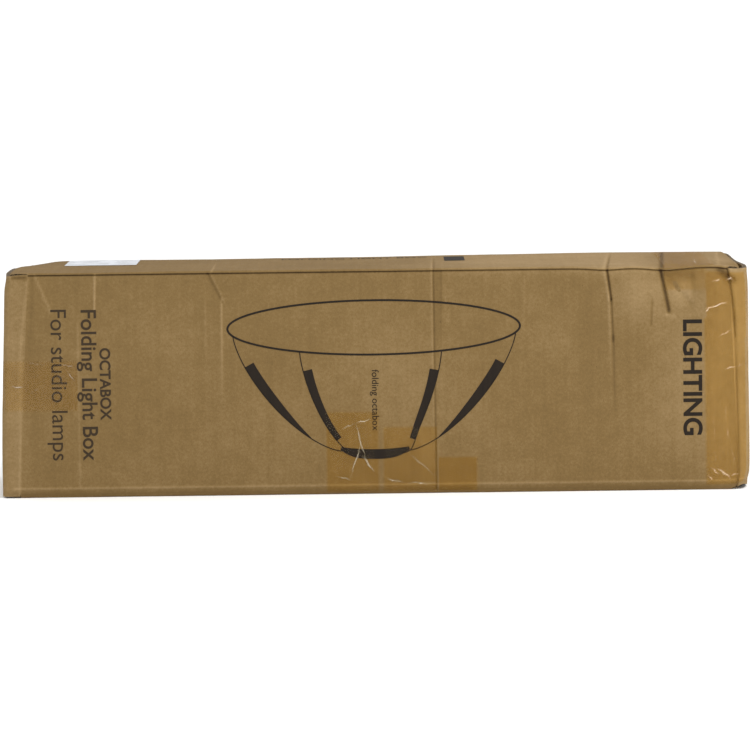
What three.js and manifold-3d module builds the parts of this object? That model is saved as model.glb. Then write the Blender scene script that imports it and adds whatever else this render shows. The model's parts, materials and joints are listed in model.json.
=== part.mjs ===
// A boxed octabox: an eight-sided softbox, folded for travel, packed in the long corrugated carton that it
// ships in. Millimetres, +Z up. The origin is the middle of the carton's base. +X runs along the carton to
// the end where the softbox's lamp ring lies, and -Y is the carton's front. The carton is an end-opening
// slotted carton: each end has two outer flaps on upright creases and, behind them, two dust flaps on level
// creases.
import * as THREE from "three";
import { mergeVertices } from "three/addons/utils/BufferGeometryUtils.js";
import Module from "manifold-3d";

const wasm = await Module();
wasm.setup();

// ---- driving dimensions: the carton ----
const BOARD = 4; // single-wall corrugated board
const HEIGHT = 218;
const DEPTH = 190;
const SLEEVE_LENGTH = 700; // between the creases of the dust flaps
const GAP = 0.3; // between pieces that touch
const OVERRUN = 1; // how far a cut or a joined piece runs past the face it meets
const MERGE_WITHIN = 1e-3; // vertices closer than this are one
const STAND_OFF = 3.3; // air left between the closed outer flaps and the dust flaps behind them
const FLAP_MEET = 0.5; // from the middle to each outer flap's free edge
const FLAP_SLOT = 1.5; // how much an outer flap is cut short at top and bottom
const DUST_TAPER = 20; // how much narrower a dust flap gets on each side
const GLUE_TAB = 36;

// ---- driving dimensions: tape and label ----
const TAPE_WIDTH = 48;
const TAPE = 0.4;
const STUCK = 0.15; // between a tape or label and the board under it
const FOLD_FREE = 2; // bare board left beside a fold, so that the flap can turn
const SLIT = 1; // from the middle of a seam to the cut edge of the tape over it
const CROSS_LEG = 70; // how far the left end's strip runs on past each fold
const EDGE_LEG = 38; // how much of the right edge's strip lies on the front panel
const EDGE_MARGIN = 6; // left free above and below the right end's strips
const LABEL = { spanX: [-306, -234], spanY: [11, 89] };
const TOP_TAPE = { spanX: [280, 328], back: 88, turn: 24 }; // turn: how far its end runs down the front panel
const LOWER_TAPES = {
  left: { spanX: [-46, 2], spanZ: [2, 80] },
  middle: { spanX: [9, 59], spanZ: [2, 65] },
  right: { spanX: [61, 98], spanZ: [2, 35] },
};

// ---- driving dimensions: the folded softbox ----
// Places along the hub's axis are measured from the carton's middle.
const PLAY = 0.4; // between pieces that move on each other
const HUB_RADIUS = 84;
const HUB_LIFT = 0.5; // between the hub and the carton's base
const PLATE = { low: 295, high: 305 };
const RING = { bore: 57, tube: 62, flange: 72, flangeThick: 3.7, front: 324 };
const LUG = { count: 3, inner: 60, outer: 68, thick: 4, halfAngle: Math.PI / 7, steps: 8 };
const RETAINER = { radius: 81, thick: 7 };
const SCREW = { count: 4, circle: 77, radius: 1.6, holeRadius: 2, depth: 5.5 };
const SCREW_HEAD = { radius: 3.5, thick: 2.5 };
const BUTTON = { half: 7, inner: 76, outer: 87, thick: 5, travel: 3 };
const RIBS = 8;
const RIB = { radius: 3, circle: 73, tipCircle: 68, tip: -285 };
const PIN = { radius: 2, half: 8, place: 287 };
const EYE = { half: 4.5, thick: 6, below: 9, above: 5 };
const EAR = { half: 6, thick: 3, below: 6, gap: 0.5 };
const CANOPY = { radius: 61, low: -335, high: 268, rimRadius: 72, rimHigh: -289 };
const STRAP_THICK = 2;
const HUB_END_STRAP = { inner: 76.3, low: 180, high: 218 };
const RIM_END_STRAP = { inner: 73, low: -219, high: -181 };

// ---- driving dimensions: what is packed round it ----
const STACK_HALF = 82;
const GRID = { spanX: [-325, 225], spanZ: [168, 182] };
const FRONT_DIFFUSER = { spanX: [-330, 235], spanZ: [182.5, 192.5] };
const INNER_DIFFUSER = { spanX: [-320, 215], spanZ: [193, 201] };
const MANUAL = { spanX: [60, 208], spanY: [-52, 53], spanZ: [201.5, 203.5] };
const BAG = { spanX: [-320, 262], half: 80, thick: 5.5 };

// ---- smoothness: how many sides a round piece has ----
const LARGE_ROUND = 48;
const CLOTH_ROUND = 40;
const CANOPY_ROUND = 32;
const SCREW_HEAD_ROUND = 16;
const SMALL_ROUND = 12;
const RIB_ROUND = 10;

// ---- worked out from those ----
const FRONT = -DEPTH / 2;
const BACK = DEPTH / 2;
const MIDDLE = HEIGHT / 2;
const FLAP_LENGTH = DEPTH / 2 - FLAP_MEET; // the outer flaps meet in the middle
const DUST_INNER = SLEEVE_LENGTH / 2 + GAP; // a dust flap's inner face, from the middle
const DUST_OUTER = DUST_INNER + BOARD;
const FLAP_INNER = DUST_OUTER + STAND_OFF;
const FLAP_OUTER = FLAP_INNER + BOARD;
const PANEL_END = FLAP_INNER - GAP; // the front and back panels reach past the dust flaps
const EDGE_TURN = TAPE_WIDTH - EDGE_LEG - (FLAP_OUTER - PANEL_END); // what is left of the strip for the flap
const AXIS_Z = BOARD + HUB_RADIUS + HUB_LIFT;
const PLATE_MIDDLE = (PLATE.low + PLATE.high) / 2;
const RING_BACK = PLATE.high + GAP;
const FLANGE_TOP = RING_BACK + RING.flangeThick;
const RETAINER_TOP = PLATE.high + RETAINER.thick;

// Angles round the hub's axis, in the softbox's own frame.
function spread(count, offset = 0) {
  return Array.from({ length: count }, (_, index) => ((index + offset) / count) * 2 * Math.PI);
}
const RIB_ANGLES = spread(RIBS, 0.5);
const SCREW_ANGLES = spread(SCREW.count);
const LUG_ANGLES = spread(LUG.count);
const BUTTON_ANGLES = { left: (5 / 4) * Math.PI, right: (3 / 4) * Math.PI };

// ---- materials ----
function paint(color, roughness, metalness = 0) {
  return new THREE.MeshStandardMaterial({ color, roughness, metalness });
}
const kraft = paint(0x8b6f48, 0.9);
const tapeFilm = paint(0xa07a3c, 0.3);
const labelPaper = paint(0xe8e8e4, 0.8);
const blackFabric = paint(0x17171a, 0.95);
const whiteFabric = paint(0xe6e6e2, 0.9);
const blackMetal = paint(0x1b1b1d, 0.45, 0.8);
const blackPlastic = paint(0x202022, 0.6);
const steel = paint(0x9a9a9c, 0.35, 1);
const redPlastic = paint(0xb3261e, 0.5);
const paper = paint(0xf0eee8, 0.85);

// ---- building helpers ----
const part = new THREE.Group();

function add(group, name, geometry, material) {
  const mesh = new THREE.Mesh(geometry, material);
  mesh.name = name;
  group.add(mesh);
  return mesh;
}

// A box that spans the three [one end, other end] pairs.
function block(spanX, spanY, spanZ) {
  const spans = [spanX, spanY, spanZ];
  const size = spans.map(([low, high]) => Math.abs(high - low));
  const middle = spans.map(([low, high]) => (low + high) / 2);
  return new THREE.BoxGeometry(...size).translate(...middle);
}

// A flat board of the outline [[y, z], ...], square to X between two places.
function boardAcross(outline, nearX, farX) {
  const shape = new THREE.Shape(outline.map(([y, z]) => new THREE.Vector2(y, z)));
  const low = Math.min(nearX, farX);
  const geometry = new THREE.ExtrudeGeometry(shape, { depth: Math.abs(farX - nearX), bevelEnabled: false });
  const turn = new THREE.Matrix4().makeBasis(
    new THREE.Vector3(0, 1, 0),
    new THREE.Vector3(0, 0, 1),
    new THREE.Vector3(1, 0, 0),
  );
  return geometry.applyMatrix4(turn).translate(low, 0, 0);
}

// A turned piece about the Z axis from a closed profile [[radius, z], ...].
function turned(profile, sides) {
  const points = profile.map(([radius, z]) => new THREE.Vector2(radius, z));
  return new THREE.LatheGeometry(points, sides).rotateX(Math.PI / 2);
}

// A ring about the Z axis.
function ring(inner, outer, low, high, sides = LARGE_ROUND) {
  const profile = [[inner, low], [outer, low], [outer, high], [inner, high], [inner, low]];
  return turned(profile, sides);
}

// A rod between two points.
function rod(from, to, radius, sides = SMALL_ROUND) {
  const start = new THREE.Vector3(...from);
  const end = new THREE.Vector3(...to);
  const along = end.clone().sub(start);
  const upright = new THREE.Vector3(0, 1, 0);
  const turn = new THREE.Quaternion().setFromUnitVectors(upright, along.clone().normalize());
  const geometry = new THREE.CylinderGeometry(radius, radius, along.length(), sides).applyQuaternion(turn);
  const middle = start.add(end).divideScalar(2);
  return geometry.translate(...middle.toArray());
}

// A geometry as a manifold solid. A turned piece can come out with its faces inwards, and is then reversed.
function solid(geometry) {
  const bare = geometry.clone();
  bare.deleteAttribute("normal");
  bare.deleteAttribute("uv");
  const merged = mergeVertices(bare, MERGE_WITHIN);
  const vertProperties = merged.attributes.position.array;
  const triVerts = new Uint32Array(merged.index.array);
  const made = new wasm.Manifold(new wasm.Mesh({ numProp: 3, vertProperties, triVerts }));
  if (made.volume() > 0) return made;
  triVerts.reverse();
  return new wasm.Manifold(new wasm.Mesh({ numProp: 3, vertProperties, triVerts }));
}

// The geometries joined into one, with the cutters taken out.
function carve(joined, cutters = []) {
  let made = joined.map(solid).reduce((whole, piece) => whole.add(piece));
  for (const cutter of cutters) made = made.subtract(solid(cutter));
  const mesh = made.getMesh();
  const geometry = new THREE.BufferGeometry();
  geometry.setAttribute("position", new THREE.BufferAttribute(new Float32Array(mesh.vertProperties), 3));
  return geometry.setIndex(new THREE.BufferAttribute(new Uint32Array(mesh.triVerts), 1));
}

// ---- the carton ----
function addSleeve() {
  const between = [FRONT + BOARD + GAP, BACK - BOARD - GAP];
  const short = [-SLEEVE_LENGTH / 2, SLEEVE_LENGTH / 2];
  const long = [-PANEL_END, PANEL_END];
  add(part, "front_panel", block(long, [FRONT, FRONT + BOARD], [0, HEIGHT]), kraft);
  add(part, "back_panel", block(long, [BACK - BOARD, BACK], [0, HEIGHT]), kraft);
  add(part, "top_panel", block(short, between, [HEIGHT - BOARD, HEIGHT]), kraft);
  add(part, "bottom_panel", block(short, between, [0, BOARD]), kraft);
  const tabTop = HEIGHT - BOARD - GAP;
  const tabSpan = [between[0], between[0] + GLUE_TAB];
  add(part, "glue_tab", block(short, tabSpan, [tabTop - BOARD, tabTop]), kraft);
}

// An outer flap lies over the end from its upright crease to the middle.
function addOuterFlap(end, name, side) {
  const root = side * BACK;
  const spanX = [end * FLAP_INNER, end * FLAP_OUTER];
  const spanY = [root, root - side * FLAP_LENGTH];
  add(part, name, block(spanX, spanY, [FLAP_SLOT, HEIGHT - FLAP_SLOT]), kraft);
}

// A dust flap lies behind the outer flaps. Its sides taper, so that it swings clear of them.
function addDustFlap(end, name, rootZ, up) {
  const rootHalf = BACK - BOARD - 2 * GAP;
  const tipHalf = rootHalf - DUST_TAPER;
  const tipZ = rootZ + up * FLAP_LENGTH;
  const outline = [[-rootHalf, rootZ], [rootHalf, rootZ], [tipHalf, tipZ], [-tipHalf, tipZ]];
  if (up < 0) outline.reverse();
  add(part, name, boardAcross(outline, end * DUST_INNER, end * DUST_OUTER), kraft);
}

function addEnd(end, label) {
  addOuterFlap(end, `${label}_front_flap`, -1);
  addOuterFlap(end, `${label}_back_flap`, 1);
  addDustFlap(end, `${label}_top_dust_flap`, HEIGHT, -1);
  addDustFlap(end, `${label}_bottom_dust_flap`, 0, 1);
}

// ---- tape and label ----
// A strip on the front (side -1) or back (side 1) panel.
function tapeOnPanel(name, side, spanX, spanZ) {
  const near = side * (BACK + STUCK);
  add(part, name, block(spanX, [near, near + side * TAPE], spanZ), tapeFilm);
}

// A strip on an outer flap, over the end of the carton.
function tapeOnEnd(name, end, spanY, spanZ) {
  const near = end * (FLAP_OUTER + STUCK);
  add(part, name, block([near, near + end * TAPE], spanY, spanZ), tapeFilm);
}

// A sheet on the top panel.
function sheetOnTop(name, spanX, spanY, material) {
  const spanZ = [HEIGHT + STUCK, HEIGHT + STUCK + TAPE];
  add(part, name, block(spanX, spanY, spanZ), material);
}

// One strip across the left end at mid height, slit at the seam between the flaps.
function addLeftTape() {
  const spanZ = [MIDDLE - TAPE_WIDTH / 2, MIDDLE + TAPE_WIDTH / 2];
  const onPanel = [-PANEL_END, CROSS_LEG - PANEL_END];
  tapeOnPanel("left_tape_on_front_panel", -1, onPanel, spanZ);
  tapeOnEnd("left_tape_on_front_flap", -1, [FRONT + FOLD_FREE, -SLIT], spanZ);
  tapeOnEnd("left_tape_on_back_flap", -1, [SLIT, BACK - FOLD_FREE], spanZ);
  tapeOnPanel("left_tape_on_back_panel", 1, onPanel, spanZ);
}

// The right end: a strip down the seam, slit along it, and one folded round the front edge.
function addRightTape() {
  const spanZ = [EDGE_MARGIN, HEIGHT - EDGE_MARGIN];
  tapeOnEnd("right_seam_tape_front", 1, [-TAPE_WIDTH / 2, -SLIT], spanZ);
  tapeOnEnd("right_seam_tape_back", 1, [SLIT, TAPE_WIDTH / 2], spanZ);
  tapeOnPanel("right_tape_on_front_panel", -1, [PANEL_END - EDGE_LEG, PANEL_END], spanZ);
  tapeOnEnd("right_tape_on_front_flap", 1, [FRONT + FOLD_FREE, FRONT + EDGE_TURN], spanZ);
}

// One strip across the top near the right end, its end folded over onto the front beside the edge's strip.
function addTopTape() {
  const { spanX, back, turn } = TOP_TAPE;
  sheetOnTop("right_tape_on_top_panel", spanX, [FRONT + FOLD_FREE, back], tapeFilm);
  const besideEdge = [spanX[0], PANEL_END - EDGE_LEG - GAP];
  tapeOnPanel("top_tape_on_front_panel", -1, besideEdge, [HEIGHT - turn, HEIGHT - FOLD_FREE]);
}

// Three short ends of tape low on the front.
function addLowerTape() {
  for (const [label, { spanX, spanZ }] of Object.entries(LOWER_TAPES)) {
    tapeOnPanel(`lower_tape_${label}`, -1, spanX, spanZ);
  }
}

// ---- the folded softbox, built about its own axis: local +Z is the way the lamp ring faces ----
const softbox = new THREE.Group();
softbox.position.set(0, 0, AXIS_Z);
softbox.rotation.y = Math.PI / 2;
part.add(softbox);

// A piece built lying along local X is turned to its place round the hub.
function placed(geometry, angle) {
  return geometry.rotateZ(angle);
}

// A rod across a rib's place, along the hinge pin's line.
function acrossRib(half, radius) {
  return rod([RIB.circle, -half, PIN.place], [RIB.circle, half, PIN.place], radius);
}

// A rod at a screw's place, along the hub's axis.
function alongScrew(low, high, radius, sides) {
  return rod([SCREW.circle, 0, low], [SCREW.circle, 0, high], radius, sides);
}

// The two ears that hold one rib's pin.
function ribEars(angle) {
  const near = EYE.thick / 2 + EAR.gap;
  const spanX = [RIB.circle - EAR.half, RIB.circle + EAR.half];
  const spanZ = [PIN.place - EAR.below, PLATE.low + OVERRUN];
  const ear = (side) => block(spanX, [side * near, side * (near + EAR.thick)], spanZ);
  return [-1, 1].map((side) => placed(ear(side), angle));
}

// The pocket that a release button is pressed into.
function buttonPocket(angle) {
  const across = BUTTON.half + PLAY;
  const along = BUTTON.thick / 2 + PLAY;
  const spanX = [BUTTON.inner - BUTTON.travel - OVERRUN, HUB_RADIUS + OVERRUN];
  return placed(block(spanX, [-across, across], [PLATE_MIDDLE - along, PLATE_MIDDLE + along]), angle);
}

// Holes for the screws, from inside the plate to above the retainer.
function screwHoles() {
  const low = PLATE.high - SCREW.depth - PLAY;
  const high = RETAINER_TOP + OVERRUN;
  return SCREW_ANGLES.map((angle) => placed(alongScrew(low, high, SCREW.holeRadius), angle));
}

// The plate that carries the rib hinges and the buttons.
function hubPlate() {
  const ears = RIB_ANGLES.flatMap(ribEars);
  const bores = RIB_ANGLES.map((angle) => placed(acrossRib(PIN.half + OVERRUN, PIN.radius + PLAY), angle));
  const pockets = Object.values(BUTTON_ANGLES).map(buttonPocket);
  const plate = ring(RING.bore, HUB_RADIUS, PLATE.low, PLATE.high);
  return carve([plate, ...ears], [...bores, ...pockets, ...screwHoles()]);
}

// One lug for the lamp: a sector of a ring at the front of the bayonet tube.
function ringLug(angle) {
  const turns = [];
  for (let step = 0; step <= LUG.steps; step++) turns.push(LUG.halfAngle * ((2 * step) / LUG.steps - 1));
  const arc = (radius) => {
    return turns.map((turn) => new THREE.Vector2(radius * Math.cos(turn), radius * Math.sin(turn)));
  };
  const shape = new THREE.Shape([...arc(LUG.outer), ...arc(LUG.inner).reverse()]);
  const lug = new THREE.ExtrudeGeometry(shape, { depth: LUG.thick, bevelEnabled: false });
  return placed(lug.translate(0, 0, RING.front - LUG.thick), angle);
}

// The bayonet ring: a flange that turns under the retainer, a short tube, and the lugs.
function bayonetRing() {
  const flange = ring(RING.bore, RING.flange, RING_BACK, FLANGE_TOP);
  const tube = ring(RING.bore, RING.tube, RING_BACK, RING.front);
  return carve([flange, tube, ...LUG_ANGLES.map(ringLug)]);
}

// The stepped ring that holds the bayonet ring's flange against the hub plate.
function retainer() {
  const rim = ring(RING.flange + PLAY, RETAINER.radius, RING_BACK, RETAINER_TOP);
  const lip = ring(RING.tube + PLAY, RETAINER.radius, FLANGE_TOP + PLAY, RETAINER_TOP);
  return carve([rim, lip], screwHoles());
}

function screw() {
  const headBase = RETAINER_TOP + GAP;
  const headTop = headBase + SCREW_HEAD.thick;
  const head = alongScrew(headBase, headTop, SCREW_HEAD.radius, SCREW_HEAD_ROUND);
  const shank = alongScrew(PLATE.high - SCREW.depth, headBase + OVERRUN, SCREW.radius);
  return carve([head, shank]);
}

function button() {
  const half = BUTTON.thick / 2;
  const spanZ = [PLATE_MIDDLE - half, PLATE_MIDDLE + half];
  return block([BUTTON.inner, BUTTON.outer], [-BUTTON.half, BUTTON.half], spanZ);
}

// A rib: a steel rod with a drilled eye that sits between two hub ears.
function rib() {
  const spanX = [RIB.circle - EYE.half, RIB.circle + EYE.half];
  const spanY = [-EYE.thick / 2, EYE.thick / 2];
  const eye = block(spanX, spanY, [PIN.place - EYE.below, PIN.place + EYE.above]);
  const stemTop = PIN.place - EYE.below + OVERRUN;
  const stem = rod([RIB.circle, 0, stemTop], [RIB.tipCircle, 0, RIB.tip], RIB.radius, RIB_ROUND);
  return carve([eye, stem], [acrossRib(EYE.thick, PIN.radius + PLAY)]);
}

function addHub() {
  add(softbox, "hub_plate", hubPlate(), blackPlastic);
  add(softbox, "bayonet_ring", bayonetRing(), blackMetal);
  add(softbox, "ring_retainer", retainer(), blackMetal);
  SCREW_ANGLES.forEach((angle, index) => {
    add(softbox, `retainer_screw_${index + 1}`, placed(screw(), angle), steel);
  });
  for (const [label, angle] of Object.entries(BUTTON_ANGLES)) {
    add(softbox, `release_button_${label}`, placed(button(), angle), redPlastic);
  }
}

function addRibs() {
  RIB_ANGLES.forEach((angle, index) => {
    add(softbox, `rib_${index + 1}`, placed(rib(), angle), steel);
    add(softbox, `rib_hinge_pin_${index + 1}`, placed(acrossRib(PIN.half, PIN.radius), angle), steel);
  });
}

// The fabric body gathered between the ribs, with its thicker rim past their tips.
function addCanopy() {
  const profile = [
    [0, CANOPY.low],
    [CANOPY.rimRadius, CANOPY.low],
    [CANOPY.rimRadius, CANOPY.rimHigh],
    [CANOPY.radius, CANOPY.rimHigh],
    [CANOPY.radius, CANOPY.high],
    [0, CANOPY.high],
  ];
  add(softbox, "folded_canopy", turned(profile, CANOPY_ROUND), blackFabric);
}

function addStrap(name, { inner, low, high }) {
  add(softbox, name, ring(inner, inner + STRAP_THICK, low, high, CLOTH_ROUND), blackFabric);
}

// ---- what is packed round it ----
function addAccessories() {
  const spanY = [-STACK_HALF, STACK_HALF];
  add(part, "honeycomb_grid", block(GRID.spanX, spanY, GRID.spanZ), blackFabric);
  add(part, "front_diffuser", block(FRONT_DIFFUSER.spanX, spanY, FRONT_DIFFUSER.spanZ), whiteFabric);
  add(part, "inner_diffuser", block(INNER_DIFFUSER.spanX, spanY, INNER_DIFFUSER.spanZ), whiteFabric);
  add(part, "user_manual", block(MANUAL.spanX, MANUAL.spanY, MANUAL.spanZ), paper);
  const bagBase = BOARD + GAP;
  const bag = block(BAG.spanX, [-BAG.half, BAG.half], [bagBase, bagBase + BAG.thick]);
  add(part, "carry_bag", bag, blackFabric);
}

addSleeve();
addEnd(1, "right");
addEnd(-1, "left");
addLeftTape();
addRightTape();
addTopTape();
addLowerTape();
sheetOnTop("shipping_label", LABEL.spanX, LABEL.spanY, labelPaper);
addHub();
addRibs();
addCanopy();
addStrap("hub_end_strap", HUB_END_STRAP);
addStrap("rim_end_strap", RIM_END_STRAP);
addAccessories();

export default part;
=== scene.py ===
# A boxed octabox: a worn, taped carton of kraft board, and the folded softbox inside it.
# Metres, +Z up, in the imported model's own frame. +X runs to the end where the lamp ring lies, and -Y is the
# printed front. "Blank" coordinates are those of the flat sheet that the carton was folded from.
import json
import math
from collections import namedtuple

import bmesh
import bpy
import numpy as np
from mathutils import Matrix, Vector, noise
from mathutils.bvhtree import BVHTree

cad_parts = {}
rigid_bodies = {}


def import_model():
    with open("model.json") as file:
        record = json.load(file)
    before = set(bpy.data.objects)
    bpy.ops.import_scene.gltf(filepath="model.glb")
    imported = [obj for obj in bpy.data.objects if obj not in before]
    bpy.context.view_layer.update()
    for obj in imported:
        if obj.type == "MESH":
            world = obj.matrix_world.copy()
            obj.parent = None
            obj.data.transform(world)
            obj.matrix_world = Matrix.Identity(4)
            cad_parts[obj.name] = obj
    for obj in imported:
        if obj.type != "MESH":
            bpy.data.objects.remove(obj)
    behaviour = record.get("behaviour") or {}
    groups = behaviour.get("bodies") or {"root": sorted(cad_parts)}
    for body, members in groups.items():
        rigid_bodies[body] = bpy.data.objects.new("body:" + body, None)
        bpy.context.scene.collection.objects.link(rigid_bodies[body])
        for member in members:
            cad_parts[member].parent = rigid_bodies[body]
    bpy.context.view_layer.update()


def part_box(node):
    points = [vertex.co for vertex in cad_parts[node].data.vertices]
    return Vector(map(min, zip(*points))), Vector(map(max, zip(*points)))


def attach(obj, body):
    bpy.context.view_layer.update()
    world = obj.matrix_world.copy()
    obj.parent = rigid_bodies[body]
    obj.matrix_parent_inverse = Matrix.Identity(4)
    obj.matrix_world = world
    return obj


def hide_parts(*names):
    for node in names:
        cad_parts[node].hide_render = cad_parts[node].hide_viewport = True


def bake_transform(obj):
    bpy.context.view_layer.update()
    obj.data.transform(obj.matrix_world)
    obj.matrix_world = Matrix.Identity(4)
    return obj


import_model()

MM = 0.001

# ---- sizes from the frame ----
PANEL_LOW, PANEL_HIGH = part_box("front_panel")
HALF_DEPTH = -PANEL_LOW.y
HEIGHT = PANEL_HIGH.z
BOARD = PANEL_HIGH.y - PANEL_LOW.y
FLAP_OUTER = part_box("right_front_flap")[1].x
FLAP_BASE, FLAP_TOP = (corner.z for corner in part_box("right_front_flap"))
FLAP_REACH = HALF_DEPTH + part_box("right_front_flap")[1].y
DUST_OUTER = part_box("right_top_dust_flap")[1].x
DUST_ROOT_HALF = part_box("right_top_dust_flap")[1].y
DUST_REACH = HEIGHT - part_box("right_top_dust_flap")[0].z

# ---- how the board is folded and worn ----
DUST_TAPER = 20 * MM
SLEEVE_END = 344 * MM  # where the sleeve ends and the flaps' own strips begin
OUTER_FOLD = 6.6 * MM  # radius of the fold at an outer flap's root
DUST_FOLD = 5.5 * MM
CORNER_RADII = (4 * MM, 2.5 * MM, 4 * MM, 5 * MM)  # front bottom, front top, back top, back bottom
GRID = 2.5 * MM  # the mesh's usual step
FINE_GRID = 0.9 * MM
FINE_STRETCHES = ((-161, -144), (-272, -265), (215, 236), (262, 308))  # mm, where slanted creases need it
INNER_GRID = 20 * MM
LIFT = 0.35 * MM  # of tape above the board
INK_LIFT = 0.22 * MM
FOLD_LINE = 9 * MM  # height of the crease low on the front
TUCK = 2.2 * MM  # how far the board under that crease turns in
EDGE_LINE = 215.5  # mm, height of the crease at the top of the front
# mm, where the left end's crease is at the top, and how much further out it is at the base
LEFT_END, LEFT_SLANT = 333, 12
RIGHT_END, RIGHT_SLANT = 342, 9
LEAN = {-1: 5.5 * MM, 1: 1.2 * MM}  # how far each end leans in at the top

TAPE_STAINS = {
    "left_tape_on_front_panel": 0.55,
    "left_tape_on_front_flap": 0.55,
    "left_tape_on_back_flap": 0.55,
    "left_tape_on_back_panel": 0.55,
    "right_tape_on_front_panel": 0.95,
    "right_tape_on_front_flap": 0.15,
    "right_tape_on_top_panel": 0.75,
    "top_tape_on_front_panel": 0.6,
    "right_seam_tape_front": 0.7,
    "right_seam_tape_back": 0.7,
    "lower_tape_left": 0.85,
    "lower_tape_middle": 0.85,
    "lower_tape_right": 1.0,
}
STAIN_REACH = 6.5 * MM  # a tape stains the fold beside it, and not the dust flap behind
Crease = namedtuple("Crease", "start end depth width tone fades")
Dent = namedtuple("Dent", "centre radius push")
Patch = namedtuple("Patch", "centre radius tone")


def on_front(x, z):
    return (x * MM, -HALF_DEPTH, z * MM)


def on_top(x, y):
    return (x * MM, y * MM, HEIGHT)


def on_back(x, z):
    return (x * MM, HALF_DEPTH, z * MM)


# Each crease: its two ends, its depth (positive is raised), its width, its tone (painted light and shade:
# positive is a painted highlight on a ridge, negative is painted shade in a groove), and whether it fades.
# Lengths are in mm, and so are those of the dents and the patches of painted light and shade below.
CREASE_ROWS = {
    on_front: [
        # the crease lines at the long edges; the top one's dark tone is a painted shadow in the gap at the
        # fold
        ((-350, EDGE_LINE), (356, EDGE_LINE), -0.9, 0.6, -2.6, False),
        ((-350, 9), (356, 9), 0.4, 1.0, 0.6, False),
        # the upright creases at the ends
        ((-LEFT_END, 217), (-LEFT_END - 8, 150), 0.4, 1.2, 0.35, False),
        ((-LEFT_END - 8, 150), (-LEFT_END - LEFT_SLANT, 2), 0.4, 1.2, 0.4, False),
        ((-LEFT_END + 4, 214), (-LEFT_END - 5, 60), -0.4, 1.3, -0.3, True),
        ((-349, 214.5), (-335, 213), -0.6, 1.1, -1.5, False),
        ((RIGHT_END, 217), (RIGHT_END + 6, 150), -1.2, 1.0, -1.9, False),
        ((RIGHT_END + 6, 150), (RIGHT_END + RIGHT_SLANT, 2), -1.0, 1.0, -1.0, False),
        # the line that runs the full height, and the buckle beside it
        ((57.2, 216), (58.1, 2), -0.5, 0.8, -0.85, False),
        ((55.5, 216), (56.4, 2), 0.3, 0.9, 0.5, True),
        ((61, 216), (61, 110), 0, 3, -0.3, True),
        ((64.8, 216), (63.6, 136), -0.3, 0.9, -0.5, True),
        ((67, 200), (73.5, 148), 0.2, 1.0, 0.3, True),
        # buckles that start at the top edge
        ((-160, 215), (-146.5, 188), -0.9, 1.3, -0.55, False),
        ((-157, 215), (-144.5, 188), 0.4, 1.1, 0.5, False),
        ((-147, 190), (-148, 90), 0.4, 1.0, 0.8, True),
        ((-163, 190), (-163, 120), 0.2, 1.0, 0.3, True),
        ((-268.7, 216), (-269.7, 181), 0.5, 1.0, 0.9, False),
        ((-286, 170), (-286.5, 10), 0.2, 1.1, 0.4, False),
        ((-327, 216), (-312, 181), 0.5, 1.2, 0.6, False),
        ((224.5, 216), (228.3, 186), -1.2, 0.9, -2.0, False),
        ((228.3, 186), (230, 146), -0.7, 0.9, -0.9, False),
        ((230, 150), (231, 66), -0.5, 1.1, -0.6, True),
        ((221.8, 214), (226, 186), 0.5, 1.3, 0.6, False),
        ((226, 190), (228, 110), 0.4, 1.3, 0.5, True),
        ((276, 216), (284, 174), -1.4, 1.4, -2.2, False),
        ((279, 213), (305, 180), -0.7, 2.6, -0.25, False),
        ((280, 211), (291, 204), -0.6, 5.0, -0.3, False),
        ((284, 213), (304, 209), -0.6, 4.5, -0.4, False),
        ((306, 206), (310, 184), -0.5, 3.2, -0.4, True),
        ((268, 185), (266.6, 160), -0.4, 1.0, -0.5, False),
        ((281.5, 170), (289.5, 169), 0.4, 1.0, 0.7, False),
        ((145, 209), (143.5, 145), 0.2, 1.0, 0.3, True),
        ((334, 213), (346, 205), -1.2, 3.2, -2.0, False),
    ],
    on_top: [
        ((57.5, -95), (60, 60), -0.4, 0.9, -0.6, True),
        ((55.5, -95), (58, 70), 0.35, 0.9, 0.6, True),
        ((-156, -95), (-156, 40), 0.3, 1.0, 0.7, True),
        ((224.5, -95), (238, 80), -0.7, 1.1, -0.8, True),
        ((221.5, -95), (235, 80), 0.3, 1.6, 0.5, True),
        ((277, -95), (289, 80), -0.9, 1.8, -1.6, False),
        ((332, -95), (344, 80), 0.3, 1.0, 0.6, False),
    ],
    # the back is as worn as the front
    on_back: [
        ((-212, 217), (-205, 120), -0.7, 1.2, -0.5, True),
        ((118, 217), (112, 60), 0.5, 1.1, 0.5, True),
        ((264, 217), (282, 170), -0.8, 1.4, -0.5, False),
        ((-350, 216), (350, 216), -0.8, 0.9, -1.2, False),
        ((-350, 9), (350, 9), 0.3, 1.1, 0.45, False),
    ],
}
CREASES = [
    Crease(place(*start), place(*end), depth * MM, width * MM, tone, fades)
    for place, rows in CREASE_ROWS.items()
    for start, end, depth, width, tone, fades in rows
]

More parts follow.
